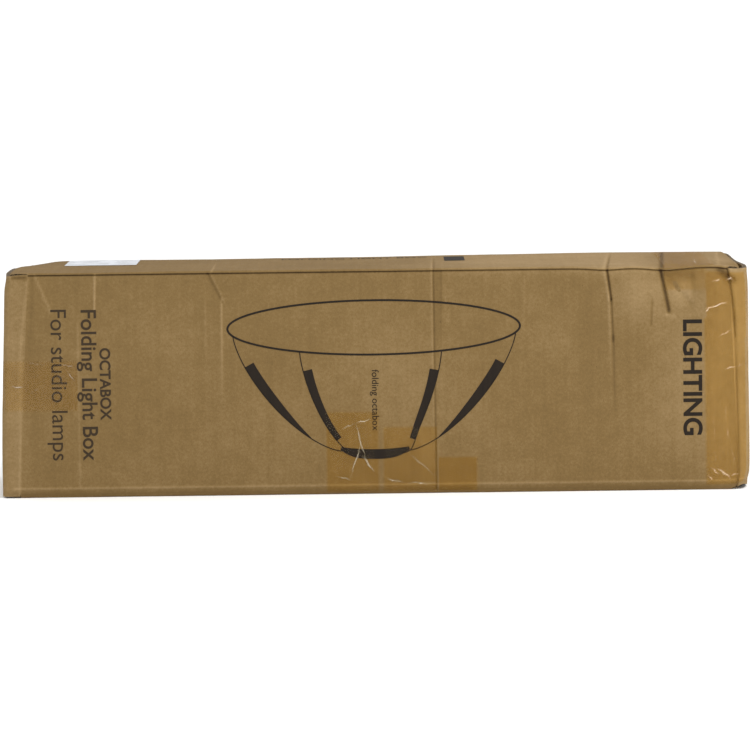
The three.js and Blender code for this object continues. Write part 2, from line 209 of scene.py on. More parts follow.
DENT_ROWS = [
    (on_front(223, 216), (18, 14, 10), (0, 0, -1.6)),
    (on_front(282, 216), (22, 18, 12), (0, 0.8, -2.6)),
    (on_front(293, 196), (13, 20, 18), (0, 3.6, 0)),
    (on_front(252, 190), (17, 20, 26), (0, -2.2, 0)),
    (on_front(-152, 203), (12, 12, 12), (0, 1.8, 0)),
    (on_front(-309, 200), (14, 12, 18), (0, 1.6, 0)),
    (on_front(350, 216), (14, 20, 14), (-2.0, 1.5, -2.5)),
    (on_front(362, 0), (12, 20, 12), (-4.0, 1.5, 3.5)),
    (on_front(-358, 216), (12, 20, 10), (2.0, 1.5, -1.5)),
    (on_front(0, 110), (260, 30, 80), (0, -1.8, 0)),
    (on_top(230, 60), (170, 70, 20), (0, 0, 2.2)),
    (on_top(367, 60), (7, 95, 22), (-1.5, 0, -10.0)),
    (on_top(-352, 75), (20, 50, 30), (0, 0, -3.5)),
    (on_back(0, 110), (240, 30, 80), (0, 1.6, 0)),
    (on_back(-345, 214), (20, 16, 16), (3.0, -2.0, -2.0)),
    (on_back(338, 8), (22, 16, 14), (-2.0, -2.5, 1.0)),
]
DENTS = [Dent(centre, np.array(radius) * MM, np.array(push) * MM) for centre, radius, push in DENT_ROWS]

# Patches of painted light and shade: paler towards the right, where the light comes from, and on the facets
# that face it, and darker in the shade beside dents. Each is a centre, a radius and a tone.
PAINTED_SHADING_ROWS = [
    (on_top(110, 0), (65, 200, 6), 0.55),
    (on_top(225, 0), (70, 200, 6), 0.85),
    (on_top(292, 0), (15, 200, 6), -0.35),
    (on_top(338, 0), (14, 200, 6), 0.5),
    (on_front(-352, 110), (15, 30, 160), 0.35),
    (on_front(20, 110), (90, 10, 70), 0.2),
    (on_front(254, 190), (24, 10, 28), 0.6),
    (on_front(208, 150), (14, 10, 40), -0.35),
    (on_front(298, 196), (13, 10, 14), 1.0),
    (on_front(292, 110), (32, 10, 80), 0.4),
    (on_front(338, 110), (18, 10, 150), 0.65),
    (on_front(52, 38), (8, 10, 24), 0.3),
]
PAINTED_SHADING_PATCHES = [Patch(centre, np.array(radius) * MM, tone) for centre, radius, tone in PAINTED_SHADING_ROWS]


def smooth(value, low, high):
    """0 below low, 1 above high, and a smooth rise between them."""
    t = np.clip((np.asarray(value, float) - low) / (high - low), 0, 1)
    return t * t * (3 - 2 * t)


# ---- the worn surface of the carton, with painted light and shade ----
def waviness(points, scale, seed):
    """Smooth noise from -1 to 1 at each point."""
    shift = Vector((seed, -seed, 2 * seed))
    return np.array([noise.noise(Vector(p) * scale + shift) for p in points])


def crease_share(points, crease, spread=1.0):
    """How strongly a crease acts at each point, from 0 to 1."""
    start, end = np.array(crease.start), np.array(crease.end)
    axis = end - start
    along = np.clip((points - start) @ axis / (axis @ axis), 0, 1)
    away = np.linalg.norm(points - start - along[:, None] * axis, axis=1)
    fade = 1 - along**2 if crease.fades else 1.0
    return np.exp(-((away / (crease.width * spread)) ** 2)) * fade


def nearness(points, spot):
    """1 at the centre of a dent or patch, falling to 0 beyond its radius."""
    away = (points - np.array(spot.centre)) / spot.radius
    return np.exp(-(away**2).sum(axis=1))


def worn_and_shaded(points, normals):
    """Where the unworn surface's points end up, and how much lighter or darker the board is there. The tone
    is random tone plus painted light and shade at the creases, the patches and the turned-in base.
    """
    points, normals = np.asarray(points, float), np.asarray(normals, float)
    out = 0.5 * MM * waviness(points, 9, 3.0) + 0.15 * MM * waviness(points, 45, 7.0)
    tone = 0.12 * waviness(points, 14, 11.0)
    for crease in CREASES:
        out += crease.depth * crease_share(points, crease)
        # a crease's tone is painted light and shade: a painted highlight on its ridge, painted shade in its
        # groove
        tone += crease.tone * crease_share(points, crease, 1.25)
    # patches of painted light and shade
    for patch in PAINTED_SHADING_PATCHES:
        tone += patch.tone * nearness(points, patch)
    low = 1 - smooth(points[:, 2], 0, FOLD_LINE)
    facing = np.clip(-normals[:, 1], 0, 1)
    out -= TUCK * low * facing
    # painted shade where the board turns in under the low crease, away from the light
    tone -= 0.22 * smooth(low, 0.1, 0.9) * facing
    moved = points + normals * out[:, None]
    for dent in DENTS:
        moved += nearness(points, dent)[:, None] * dent.push
    return moved, tone


def tape_stain(points):
    """How much the tape over each point has darkened the board, from 0 to 1."""
    stain = np.zeros(len(points))
    for node, amount in TAPE_STAINS.items():
        low, high = (np.array(corner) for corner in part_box(node))
        thin = np.argmin(high - low)
        margin = np.full(3, 0.3 * MM)
        margin[thin] = STAIN_REACH
        inside = ((points > low - margin) & (points < high + margin)).all(axis=1)
        stain = np.maximum(stain, amount * inside)
    return stain


# ---- mesh helpers ----
def marks(low, high, step, fine=(), reach=(0.7 * MM, 1.5 * MM)):
    """Places from low to high a step apart, with more of them beside each fine place."""
    places = list(np.linspace(low, high, max(2, round((high - low) / step) + 1)))
    for place in fine:
        extra = [place + side * r for r in reach for side in (-1, 1)] + [place]
        places += [p for p in extra if low < p < high]
    places = sorted(places)
    kept = [places[0]]
    for place in places[1:-1]:
        if place - kept[-1] > 0.4 * MM and high - place > 0.4 * MM:
            kept.append(place)
    return np.array(kept + [places[-1]])


def quads(rows, columns, wrap=False, start=0):
    """The faces of a grid of vertices numbered row by row."""
    index = start + np.arange(rows * columns).reshape(rows, columns)
    if wrap:
        index = np.concatenate([index, index[:, :1]], axis=1)
    corners = (index[:-1, :-1], index[1:, :-1], index[1:, 1:], index[:-1, 1:])
    return np.stack(corners, axis=-1).reshape(-1, 4).tolist()


def strip(first, second):
    """The faces between two rows of vertex numbers."""
    return [[a, b, c, d] for a, b, c, d in zip(first[:-1], first[1:], second[1:], second[:-1])]


def make_mesh(name, vertices, faces, attributes=None):
    """A smooth-shaded mesh object, with one value or vector at each vertex for each attribute."""
    mesh = bpy.data.meshes.new(name)
    mesh.from_pydata(np.asarray(vertices).tolist(), [], faces)
    for label, values in (attributes or {}).items():
        values = np.asarray(values, np.float32)
        kind, field = ("FLOAT_VECTOR", "vector") if values.ndim == 2 else ("FLOAT", "value")
        mesh.attributes.new(label, kind, "POINT").data.foreach_set(field, values.ravel())
    mesh.shade_smooth()
    piece = bpy.data.objects.new(name, mesh)
    bpy.context.scene.collection.objects.link(piece)
    return piece


def close_and_sharpen(piece, degrees=50):
    """Turns every face outwards and keeps the edges of the board crisp."""
    work = bmesh.new()
    work.from_mesh(piece.data)
    bmesh.ops.recalc_face_normals(work, faces=work.faces)
    work.to_mesh(piece.data)
    work.free()
    piece.data.set_sharp_from_angle(angle=math.radians(degrees))


def board_shell(name, outer, inner, outer_blank, inner_blank, tones, stains, wrap=False):
    """A closed board between an outer and an inner grid with the same columns.

    Its rims get the second material.
    """
    (n, m), k = outer.shape[:2], inner.shape[0]
    second = n * m
    vertices = np.concatenate([outer.reshape(-1, 3), inner.reshape(-1, 3)])
    faces = quads(n, m, wrap) + quads(k, m, wrap, second)
    skins = len(faces)
    near, far = list(range(m)), list(range((n - 1) * m, n * m))
    near_in, far_in = [second + i for i in range(m)], [second + (k - 1) * m + i for i in range(m)]
    if wrap:
        near, far, near_in, far_in = (row + row[:1] for row in (near, far, near_in, far_in))
    faces += strip(near, near_in) + strip(far, far_in)
    if not wrap:
        for column in (0, m - 1):
            edge = [row * m + column for row in range(n)]
            faces += strip(edge, [second + v for v in edge])
    blank = np.concatenate([outer_blank.reshape(-1, 3), inner_blank.reshape(-1, 3)])
    tone = np.concatenate([tones.ravel(), np.zeros(k * m)])
    stain = np.concatenate([stains.ravel(), np.zeros(k * m)])
    piece = make_mesh(name, vertices, faces, {"blank": blank, "tone": tone, "stain": stain})
    for face in piece.data.polygons[skins:]:
        face.material_index = 1
    close_and_sharpen(piece)
    piece.data.materials.append(KRAFT)
    piece.data.materials.append(BOARD_EDGE)
    return piece


# ---- shader helpers ----
class Shader:
    """A material under construction, with short ways to add and join nodes."""

    def __init__(self, name):
        self.material = bpy.data.materials.new(name)
        self.material.use_nodes = True
        self.tree = self.material.node_tree
        self.tree.nodes.clear()
        self.surface = self.tree.nodes.new("ShaderNodeBsdfPrincipled")
        output = self.tree.nodes.new("ShaderNodeOutputMaterial")
        self.tree.links.new(self.surface.outputs[0], output.inputs["Surface"])

    def feed(self, socket, value):
        if isinstance(value, bpy.types.NodeSocket):
            self.tree.links.new(value, socket)
        else:
            socket.default_value = value

    def node(self, kind, inputs, **settings):
        made = self.tree.nodes.new("ShaderNode" + kind)
        for key, value in settings.items():
            setattr(made, key, value)
        for key, value in inputs.items():
            self.feed(made.inputs[key], value)
        return made

    def set(self, **values):
        for key, value in values.items():
            self.feed(self.surface.inputs[key.replace("_", " ")], value)

    def attribute(self, name, output="Vector"):
        return self.node("Attribute", {}, attribute_name=name).outputs[output]

    def place(self):
        return self.node("TexCoord", {}).outputs["Object"]

    def stretched(self, vector, scale):
        return self.node("Mapping", {"Vector": vector, "Scale": scale}).outputs[0]

    def noise(self, vector, scale, detail=2.0, roughness=0.5):
        inputs = {"Vector": vector, "Scale": scale, "Detail": detail, "Roughness": roughness}
        return self.node("TexNoise", inputs).outputs["Fac"]

    def math(self, operation, first, second=0.0, third=0.0):
        inputs = {0: first, 1: second, 2: third}
        return self.node("Math", inputs, operation=operation).outputs[0]

    def spread(self, value, amount, middle=0.0):
        """The value's swing about a half, times the amount, about a new middle."""
        return self.math("MULTIPLY_ADD", self.math("SUBTRACT", value, 0.5), amount, middle)

    def ramp(self, value, stops):
        made = self.node("ValToRGB", {"Fac": value})
        elements = made.color_ramp.elements
        while len(elements) < len(stops):
            elements.new(0.5)
        for element, (position, color) in zip(elements, stops):
            element.position = position
            element.color = (*color, 1)
        return made.outputs[0]

    def step(self, value, low, high):
        inputs = {"Value": value, "From Min": low, "From Max": high}
        return self.node("MapRange", inputs, clamp=True).outputs[0]

    def bump(self, height, distance, strength=1.0):
        inputs = {"Height": height, "Distance": distance, "Strength": strength}
        return self.node("Bump", inputs).outputs[0]


# ---- materials ----
FLUTES = 2 * math.pi / (7 * MM)  # the board's waves are 7 mm apart
KRAFT_DARK = (0.035, 0.019, 0.007)
KRAFT_PLAIN = (0.163, 0.103, 0.039)
KRAFT_PALE = (0.380, 0.268, 0.140)
TAPE_TINT = (1.0, 0.86, 0.51)  # what tape does to the colour of the board under it


def kraft_value(shader, blank):
    """Kraft liner as one number: a half is plain, less is darker and more is paler."""
    cloud = shader.noise(blank, 11, 5)
    patch = shader.noise(blank, 75, 4)
    streak = shader.noise(shader.stretched(blank, (1, 0.03, 1)), 190, 3)
    fibre = shader.noise(shader.stretched(blank, (1, 0.35, 1)), 1500, 3, 0.7)
    mottle = shader.noise(blank, 340, 3, 0.6)
    value = shader.spread(cloud, 0.16, 0.5)
    value = shader.math("ADD", value, shader.spread(patch, 0.14))
    value = shader.math("ADD", value, shader.spread(streak, 0.08))
    value = shader.math("ADD", value, shader.spread(mottle, 0.22))
    value = shader.math("ADD", value, shader.spread(fibre, 0.26))
    return value, streak, fibre, patch


def kraft():
    shader = Shader("kraft_liner")
    blank = shader.attribute("blank")
    value, streak, fibre, patch = kraft_value(shader, blank)
    # the tone attribute brings random tone and painted light and shade into the liner's colour
    value = shader.math("MULTIPLY_ADD", shader.attribute("tone", "Fac"), 0.22, value)
    fleck = shader.step(shader.noise(blank, 620, 1), 0.70, 0.76)
    value = shader.math("MULTIPLY_ADD", fleck, -0.14, value)
    stops = [(0.0, KRAFT_DARK), (0.5, KRAFT_PLAIN), (1.0, KRAFT_PALE)]
    along = shader.node("SeparateXYZ", {0: blank}).outputs[0]
    flutes = shader.math("SINE", shader.math("MULTIPLY", along, FLUTES))
    height = shader.math("ADD", shader.spread(streak, 0.7), shader.spread(fibre, 0.25))
    height = shader.math("MULTIPLY_ADD", flutes, 0.12, height)
    tinted = {0: shader.attribute("stain", "Fac"), 6: shader.ramp(value, stops), 7: (*TAPE_TINT, 1)}
    shader.set(
        Base_Color=shader.node("Mix", tinted, data_type="RGBA", blend_type="MULTIPLY").outputs[2],
        Roughness=shader.spread(patch, 0.10, 0.92),
        Normal=shader.bump(height, 0.25 * MM, 0.6),
    )
    shader.surface.inputs["Specular IOR Level"].default_value = 0.12
    return shader.material


def board_edge():
    """The cut edge of the board: two liners, with the fluting between them, and the hollows between painted
    near black as shade.
    """
    shader = Shader("board_edge")
    blank = shader.attribute("blank")
    parts = shader.node("SeparateXYZ", {0: blank})
    across = parts.outputs[2]
    turns = shader.math("MULTIPLY", parts.outputs[0], FLUTES)
    flute = shader.math("MULTIPLY_ADD", shader.math("SINE", turns), 0.36, 0.5)
    off_flute = shader.math("ABSOLUTE", shader.math("SUBTRACT", across, flute))
    off_middle = shader.math("ABSOLUTE", shader.math("SUBTRACT", across, 0.5))
    paper = shader.math("MAXIMUM", shader.step(off_flute, 0.16, 0.08), shader.step(off_middle, 0.38, 0.43))
    grain = shader.noise(blank, 900, 3)
    # away from the paper the colour falls to near black: painted shade in the flute hollows
    value = shader.math("MULTIPLY_ADD", paper, 0.42, shader.spread(grain, 0.2, 0.08))
    stops = [(0.0, (0.030, 0.018, 0.008)), (0.5, KRAFT_PLAIN), (1.0, KRAFT_PALE)]
    shader.set(Base_Color=shader.ramp(value, stops), Roughness=0.9, Normal=shader.bump(paper, 0.8 * MM))
    return shader.material


def tape_film(name, tint, cover, gloss=0.5):
    """Clear tape gone yellow. Its creases carry a painted highlight, pale and more opaque, and its lifted
    spots are a little pale.
    """
    shader = Shader(name)
    blank = shader.attribute("blank")
    crinkle = shader.attribute("crinkle", "Fac")
    cloud = shader.noise(blank, 38, 4)
    lifted = shader.step(shader.noise(blank, 95, 5, 0.65), 0.58, 0.72)
    # the wrinkles' crests get a painted highlight: a paler colour and a more opaque film
    pale = shader.math("MAXIMUM", crinkle, shader.math("MULTIPLY", lifted, 0.12))
    pale_color = tuple(min(1.0, 0.25 + 1.6 * c) for c in tint)
    value = shader.math("ADD", shader.math("MULTIPLY", pale, 0.8), shader.spread(cloud, 0.12, 0.05))
    stops = [(0.0, tint), (0.45, pale_color), (0.9, (0.86, 0.82, 0.74))]
    haze = shader.noise(shader.stretched(blank, (1, 0.3, 1)), 60, 2)
    shader.set(
        Base_Color=shader.ramp(value, stops),
        Alpha=shader.math("ADD", shader.math("MULTIPLY", pale, 0.65), shader.spread(cloud, 0.10, cover)),
        Roughness=shader.spread(haze, 0.16, 0.34),
        Normal=shader.bump(haze, 0.1 * MM, 0.3),
    )
    shader.surface.inputs["Specular IOR Level"].default_value = gloss
    return shader.material


def ink(name, fading):
    """Black flexographic ink, thin enough that the board's fibres show in it."""
    shader = Shader(name)
    blank = shader.attribute("blank")
    rub = shader.step(shader.noise(blank, 1300, 4, 0.7), 0.60, 0.74)
    streak = shader.noise(shader.stretched(blank, (1, 0.03, 1)), 190, 3)
    value = shader.math("MULTIPLY_ADD", rub, 0.30, shader.spread(streak, 0.12, fading))
    stops = [(0.0, (0.009, 0.007, 0.006)), (0.5, (0.045, 0.030, 0.016)), (1.0, KRAFT_PLAIN)]
    shader.set(Base_Color=shader.ramp(value, stops), Roughness=0.85)
    shader.surface.inputs["Specular IOR Level"].default_value = 0.15
    return shader.material


def label_paper():
    """A coated label with plain grey bars where its print would be."""
    shader = Shader("label_paper")
    blank = shader.attribute("blank")
    parts = shader.node("SeparateXYZ", {0: blank})
    rows = shader.math("FRACT", shader.math("MULTIPLY", parts.outputs[1], 1 / (9 * MM)))
    row = shader.step(rows, 0.62, 0.66)
    bars = shader.math("MULTIPLY", row, shader.step(shader.noise(blank, 60, 0), 0.42, 0.5))
    grain = shader.noise(blank, 400, 3)
    value = shader.math("MULTIPLY_ADD", bars, -0.55, shader.spread(grain, 0.12, 0.9))
    stops = [(0.0, (0.05, 0.05, 0.055)), (1.0, (0.56, 0.58, 0.62))]
    shader.set(Base_Color=shader.ramp(value, stops), Roughness=shader.spread(grain, 0.2, 0.45))
    return shader.material


KRAFT = kraft()
BOARD_EDGE = board_edge()
INK = ink("printed_ink", 0.09)
FADED_INK = ink("faded_ink", 0.40)
LABEL = label_paper()
TAPE_LEFT = tape_film("tape_left", (0.16, 0.10, 0.04), 0.05)
TAPE_RIGHT = tape_film("tape_right", (0.36, 0.19, 0.035), 0.05, 0.25)
TAPE_TOP = tape_film("tape_top", (0.24, 0.14, 0.035), 0.10, 0.15)
TAPE_LOW = tape_film("tape_low", (0.20, 0.14, 0.03), 0.02)


# ---- the sleeve ----
def section_loop():
    """The sleeve's outline across the carton, from the front's base: points, normals and distance round."""
    corners = np.array([(-HALF_DEPTH, 0), (-HALF_DEPTH, HEIGHT), (HALF_DEPTH, HEIGHT), (HALF_DEPTH, 0)])
    ways = np.array([(0, 1), (1, 0), (0, -1), (-1, 0)], float)
    outs = np.array([(-1, 0), (0, 1), (1, 0), (0, -1)], float)
    steps = (GRID, GRID, 2 * GRID, 2 * GRID)
    fines = ([EDGE_LINE * MM - CORNER_RADII[0], FOLD_LINE - CORNER_RADII[0]], [0], [], [])
    points, normals = [], []
    for side in range(4):
        after = (side + 1) % 4
        start = corners[side] + ways[side] * CORNER_RADII[side]
        length = np.abs(corners[after] - corners[side]).sum() - CORNER_RADII[side] - CORNER_RADII[after]
        for place in marks(0, length, steps[side], fines[side]):
            points.append(start + ways[side] * place)
            normals.append(outs[side])
        radius = CORNER_RADII[after]
        centre = corners[after] - (ways[side] + outs[side]) * radius
        for turn in np.radians(np.arange(15, 90, 15)):
            normal = outs[side] * math.cos(turn) + ways[side] * math.sin(turn)
            points.append(centre + normal * radius)
            normals.append(normal)
    points, normals = np.array(points), np.array(normals)
    gaps = np.linalg.norm(np.diff(points, axis=0), axis=1)
    return points, normals, np.concatenate([[0], np.cumsum(gaps)])


def front_end(end, z):
    """How far out the sleeve reaches on the front: its end creases lean outwards towards the base."""
    low = 1 - np.asarray(z) / HEIGHT
    top, slant = (LEFT_END, LEFT_SLANT) if end < 0 else (RIGHT_END, RIGHT_SLANT)
    return (top + slant * low) * MM


def lean(end, rows, heights):
    """How far a flap's grid is pushed in along the carton: the ends lean in towards the top."""
    high = smooth(heights, 0.15 * HEIGHT, 1.1 * HEIGHT)[None, :]
    beyond = smooth(rows[:, 0], SLEEVE_END, FLAP_OUTER - OUTER_FOLD)[:, None]
    return -LEAN[end] * high * beyond


def add_sleeve():
    section, outward, around = section_loop()
    upright = [crease for crease in CREASES if abs(crease.start[0] - crease.end[0]) < 4 * MM]
    fine = [crease.start[0] for crease in upright] + [-SLEEVE_END, SLEEVE_END]
    for low, high in FINE_STRETCHES:
        fine += list(np.arange(low * MM, high * MM, FINE_GRID))
    xs = marks(-SLEEVE_END, SLEEVE_END, GRID, fine)
    on_face = smooth(-outward[:, 0], 0.2, 0.9)
    reach = {end: front_end(end, section[:, 1]) - SLEEVE_END for end in (-1, 1)}

    def grid(places, inset):
        near_end = smooth(np.abs(places), SLEEVE_END - 40 * MM, SLEEVE_END)[:, None]
        shift = np.where(places[:, None] < 0, -reach[-1] * on_face, reach[1] * on_face) * near_end
        x = places[:, None] + shift
        flat = np.broadcast_to(section - outward * inset, (len(places), *section.shape))
        points = np.concatenate([x[..., None], flat], axis=2)
        normals = np.zeros_like(points)
        normals[..., 1:] = outward
        blank = np.stack([x, np.broadcast_to(around, x.shape), np.full(x.shape, inset / BOARD)], axis=2)
        return points, normals, blank

    points, normals, blank = grid(xs, 0)
    moved, tone = worn_and_shaded(points.reshape(-1, 3), normals.reshape(-1, 3))
    inner_points, _, inner_blank = grid(marks(-SLEEVE_END, SLEEVE_END, INNER_GRID), BOARD)
    shape = points.shape
    stains = tape_stain(points.reshape(-1, 3))
    piece = board_shell(
        "carton_sleeve", moved.reshape(shape), inner_points, blank, inner_blank, tone, stains, wrap=True
    )
    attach(piece, "carton")
    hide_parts("front_panel", "back_panel", "top_panel", "bottom_panel")
    return piece


# ---- the flaps ----
def fold_path(root, outer, radius, reach, step=GRID):
    """A flap's line from its root round its fold to its tip: how far out and in, the normal and the length.

    Out is along the carton and in is from the panel's face. The line turns from one to the other at the fold.
    """
    corner = outer - radius
    rows = [(place, 0.0, 0.0, -1.0) for place in marks(root, corner, step, [root])]
    for turn in np.radians(np.arange(10, 90, 10)):
        sine, cosine = math.sin(turn), math.cos(turn)
        rows.append((corner + radius * sine, radius * (1 - cosine), sine, -cosine))
    rows += [(outer, place, 1.0, 0.0) for place in marks(radius, reach, step)]
    rows = np.array(rows)
    gaps = np.linalg.norm(np.diff(rows[:, :2], axis=0), axis=1)
    return rows, root + np.concatenate([[0], np.cumsum(gaps)])


def to_outer_flap(end, side, out, inward, across):
    """Flap coordinates to the frame's, for an outer flap: across is the height."""
    return np.stack([end * out, side * (HALF_DEPTH - inward), across], axis=-1)


def to_dust_flap(end, up, out, inward, across):
    """The same for a dust flap: across is along Y."""
    height = HEIGHT - inward if up < 0 else inward
    return np.stack([end * out, across, height], axis=-1)


def flap_grid(place, rows, across, shift=0.0):
    """Points and normals of a flap's grid. place turns flap coordinates into the frame's."""
    out, inward, out_way, in_way = (np.broadcast_to(rows[:, i, None], across.shape) for i in range(4))
    points = place(out + shift, inward, across)
    tips = place(out + shift + out_way, inward + in_way, across)
    return points, tips - points


def add_flap(name, body, node, place, rows, lengths, across, root_shift, blank_across):
    points, normals = flap_grid(place, rows, across, root_shift)
    moved, tone = worn_and_shaded(points.reshape(-1, 3), normals.reshape(-1, 3))
    moved = moved.reshape(points.shape)
    tone = tone.reshape(across.shape) + edge_wear(across.shape) + strip_tone(rows, across.shape, body)
    stains = tape_stain(points.reshape(-1, 3))
    blank_along = np.broadcast_to(lengths[:, None], across.shape)
    blank = np.stack([blank_along, blank_across, np.zeros(across.shape)], axis=2)
    inner_blank = blank.copy()
    inner_blank[..., 2] = 1
    piece = board_shell(name, moved, moved - normals * BOARD, blank, inner_blank, tone, stains)
    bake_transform(piece)
    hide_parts(node)
    return piece


def strip_tone(rows, shape, body):
    """The strip between an outer flap's crease and its fold is painted paler: strongly at the right, a
    painted highlight where the rounded fold catches the light, and a little at the left.
    """
    lightened = {"right_front_flap": 0.8, "left_front_flap": 0.25}.get(body, 0)
    return np.broadcast_to((lightened * (1 - smooth(rows[:, 1], 4 * MM, 30 * MM)))[:, None], shape)


def edge_wear(shape):
    """A flap's free edges are rubbed pale: the tip's row, and the first and last columns."""
    wear = np.zeros(shape)
    wear[-1, :] += 0.6
    wear[:, 0] += 0.4
    wear[:, -1] += 0.4
    return wear


def add_outer_flap(label, end, name, side):
    node = f"{label}_{name}_flap"
    heights = marks(FLAP_BASE, FLAP_TOP, GRID, [FOLD_LINE])
    root = front_end(end, heights) if side < 0 else np.full(heights.shape, SLEEVE_END)
    rows, lengths = fold_path(SLEEVE_END, FLAP_OUTER, OUTER_FOLD, FLAP_REACH)
    across = np.broadcast_to(heights, (len(rows), len(heights)))
    corner = FLAP_OUTER - OUTER_FOLD
    share = np.clip((corner - rows[:, 0]) / (corner - SLEEVE_END), 0, 1)[:, None]
    shift = share * (root - SLEEVE_END)[None, :] + lean(end, rows, heights)

    def place(out, inward, height):
        return to_outer_flap(end, side, out, inward, height)

    return add_flap(f"{node}_board", node, node, place, rows, lengths, across, shift, across)


def add_dust_flap(label, end, name, up):
    node = f"{label}_{name}_dust_flap"
    rows, lengths = fold_path(SLEEVE_END, DUST_OUTER, DUST_FOLD, DUST_REACH)
    shares = marks(-DUST_ROOT_HALF, DUST_ROOT_HALF, GRID) / DUST_ROOT_HALF
    half = DUST_ROOT_HALF - DUST_TAPER * rows[:, 1] / DUST_REACH
    across = half[:, None] * shares[None, :]
    around = HEIGHT + HALF_DEPTH + across if up < 0 else 2 * HEIGHT + 3 * HALF_DEPTH - across

    def place(out, inward, y):
        return to_dust_flap(end, up, out, inward, y)

    return add_flap(f"{node}_board", node, node, place, rows, lengths, across, 0.0, around)


def add_flaps():
    for label, end in (("right", 1), ("left", -1)):
        for name, side in (("front", -1), ("back", 1)):
            add_outer_flap(label, end, name, side)
        for name, up in (("top", -1), ("bottom", 1)):
            add_dust_flap(label, end, name, up)


# ---- tape ----
Wrinkle = namedtuple("Wrinkle", "start end height")
TAPE_GRID = 1.0 * MM
WRINKLE_WIDTH = 0.65 * MM
TOOTH = (1.0 * MM, 2.6 * MM)  # how deep and how far apart the cutter's teeth are


def wrinkle_share(a, b, wrinkle):
    """How strongly a tape's wrinkle acts. a and b are places along and across the tape, in metres."""
    here = np.stack([a, b], axis=-1)
    start, end = np.array(wrinkle.start) * MM, np.array(wrinkle.end) * MM
    axis = end - start
    along = np.clip((here - start) @ axis / (axis @ axis), 0, 1)
    wobble = 0.4 * MM * np.sin(along * 11 + start[0] * 900)
    side = np.array([-axis[1], axis[0]]) / np.linalg.norm(axis)
    away = np.linalg.norm(here - start - along[..., None] * axis - wobble[..., None] * side, axis=-1)
    return np.exp(-((away / WRINKLE_WIDTH) ** 2)) * (0.35 + 0.65 * np.sin(np.pi * np.clip(along, 0.08, 0.92)))


def toothed(a):
    """The tape's cut end: a row of small teeth."""
    depth, pitch = TOOTH
    return depth * np.abs(2 * ((a / pitch) % 1) - 1)


def film_mesh(name, points, normals, a, b, wrinkles, material):
    """A thin skin over the worn board, raised along its wrinkles."""
    rows, columns = a.shape
    moved, _ = worn_and_shaded(points.reshape(-1, 3), normals.reshape(-1, 3))
    crinkle = np.zeros(a.shape)
    for wrinkle in wrinkles:
        crinkle = np.maximum(crinkle, wrinkle.height * wrinkle_share(a, b, wrinkle))
    raised = LIFT + 0.7 * MM * crinkle
    moved = moved.reshape(points.shape) + normals * raised[..., None]
    blank = np.stack([a, b, np.zeros(a.shape)], axis=2).reshape(-1, 3)
    # crinkle marks the wrinkles' crests, where the tape's material paints a highlight
    attributes = {"blank": blank, "crinkle": smooth(crinkle.ravel(), 0.15, 0.95)}
    piece = make_mesh(name, moved.reshape(-1, 3), quads(rows, columns), attributes)
    piece.data.materials.append(material)
    return piece


def panel_film(name, node, material, wrinkles=(), skew=(0, 0, 0, 0), facing="front"):
    """Tape on one panel. skew shifts its corners: left and right at its low side, then at its high side."""
    low, high = (np.array(corner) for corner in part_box(node))
    rise = 1 if facing == "top" else 2
    along = np.linspace(0, 1, max(3, round((high[0] - low[0]) / TAPE_GRID)))
    up = np.linspace(0, 1, max(3, round((high[rise] - low[rise]) / TAPE_GRID)))
    share, tall = np.meshgrid(along, up, indexing="ij")
    shift = np.array(skew) * MM
    left = shift[0] + (shift[2] - shift[0]) * tall
    right = shift[1] + (shift[3] - shift[1]) * tall
    b = tall * (high[rise] - low[rise])
    teeth = toothed(b)
    a = (left + teeth) + share * ((high[0] - low[0]) + right - left - 2 * teeth)
    points = np.zeros((*a.shape, 3))
    normals = np.zeros_like(points)
    points[..., 0] = low[0] + a
    points[..., rise] = low[rise] + b
    points[..., 3 - rise] = {"front": -HALF_DEPTH, "top": HEIGHT}[facing]
    normals[..., 3 - rise] = -1 if facing == "front" else 1
    piece = film_mesh(name, points, normals, a, b, wrinkles, material)
    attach(piece, "carton")
    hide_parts(node)
    return piece


def folded_film(name, end, side, nodes, material, wrinkles=()):
    """Tape that runs from a panel round the fold and on over an outer flap."""
    panel_low, panel_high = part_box(nodes[0])
    flap_low, flap_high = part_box(nodes[1])
    root = min(abs(panel_low.x), abs(panel_high.x))
    reach = HALF_DEPTH - min(abs(flap_low.y), abs(flap_high.y))
    rows, lengths = fold_path(root, FLAP_OUTER, OUTER_FOLD, reach, TAPE_GRID)
    heights = marks(panel_low.z, panel_high.z, TAPE_GRID)
    across = np.broadcast_to(heights, (len(rows), len(heights)))
    shift = lean(end, rows, heights)

    def place(out, inward, height):
        return to_outer_flap(end, side, out, inward, height)

    points, normals = flap_grid(place, rows, across, shift)
    a = np.broadcast_to((lengths - root)[:, None], across.shape)
    piece = film_mesh(name, points, normals, a, across - panel_low.z, wrinkles, material)
    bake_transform(piece)
    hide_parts(*nodes)
    return piece


def flap_film(name, node, body, end, material, wrinkles=()):
    """Tape that lies on an outer flap only."""
    low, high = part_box(node)
    ys, zs = marks(low.y, high.y, TAPE_GRID), marks(low.z, high.z, TAPE_GRID)
    y, z = np.meshgrid(ys, zs, indexing="ij")
    points = np.stack([np.full(y.shape, end * FLAP_OUTER), y, z], axis=2)
    points[..., 0] -= end * LEAN[end] * smooth(z, 0.15 * HEIGHT, 1.1 * HEIGHT)
    normals = np.zeros_like(points)
    normals[..., 0] = end
    piece = film_mesh(name, points, normals, y - low.y, z - low.z, wrinkles, material)
    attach(piece, body)
    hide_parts(node)
    return piece


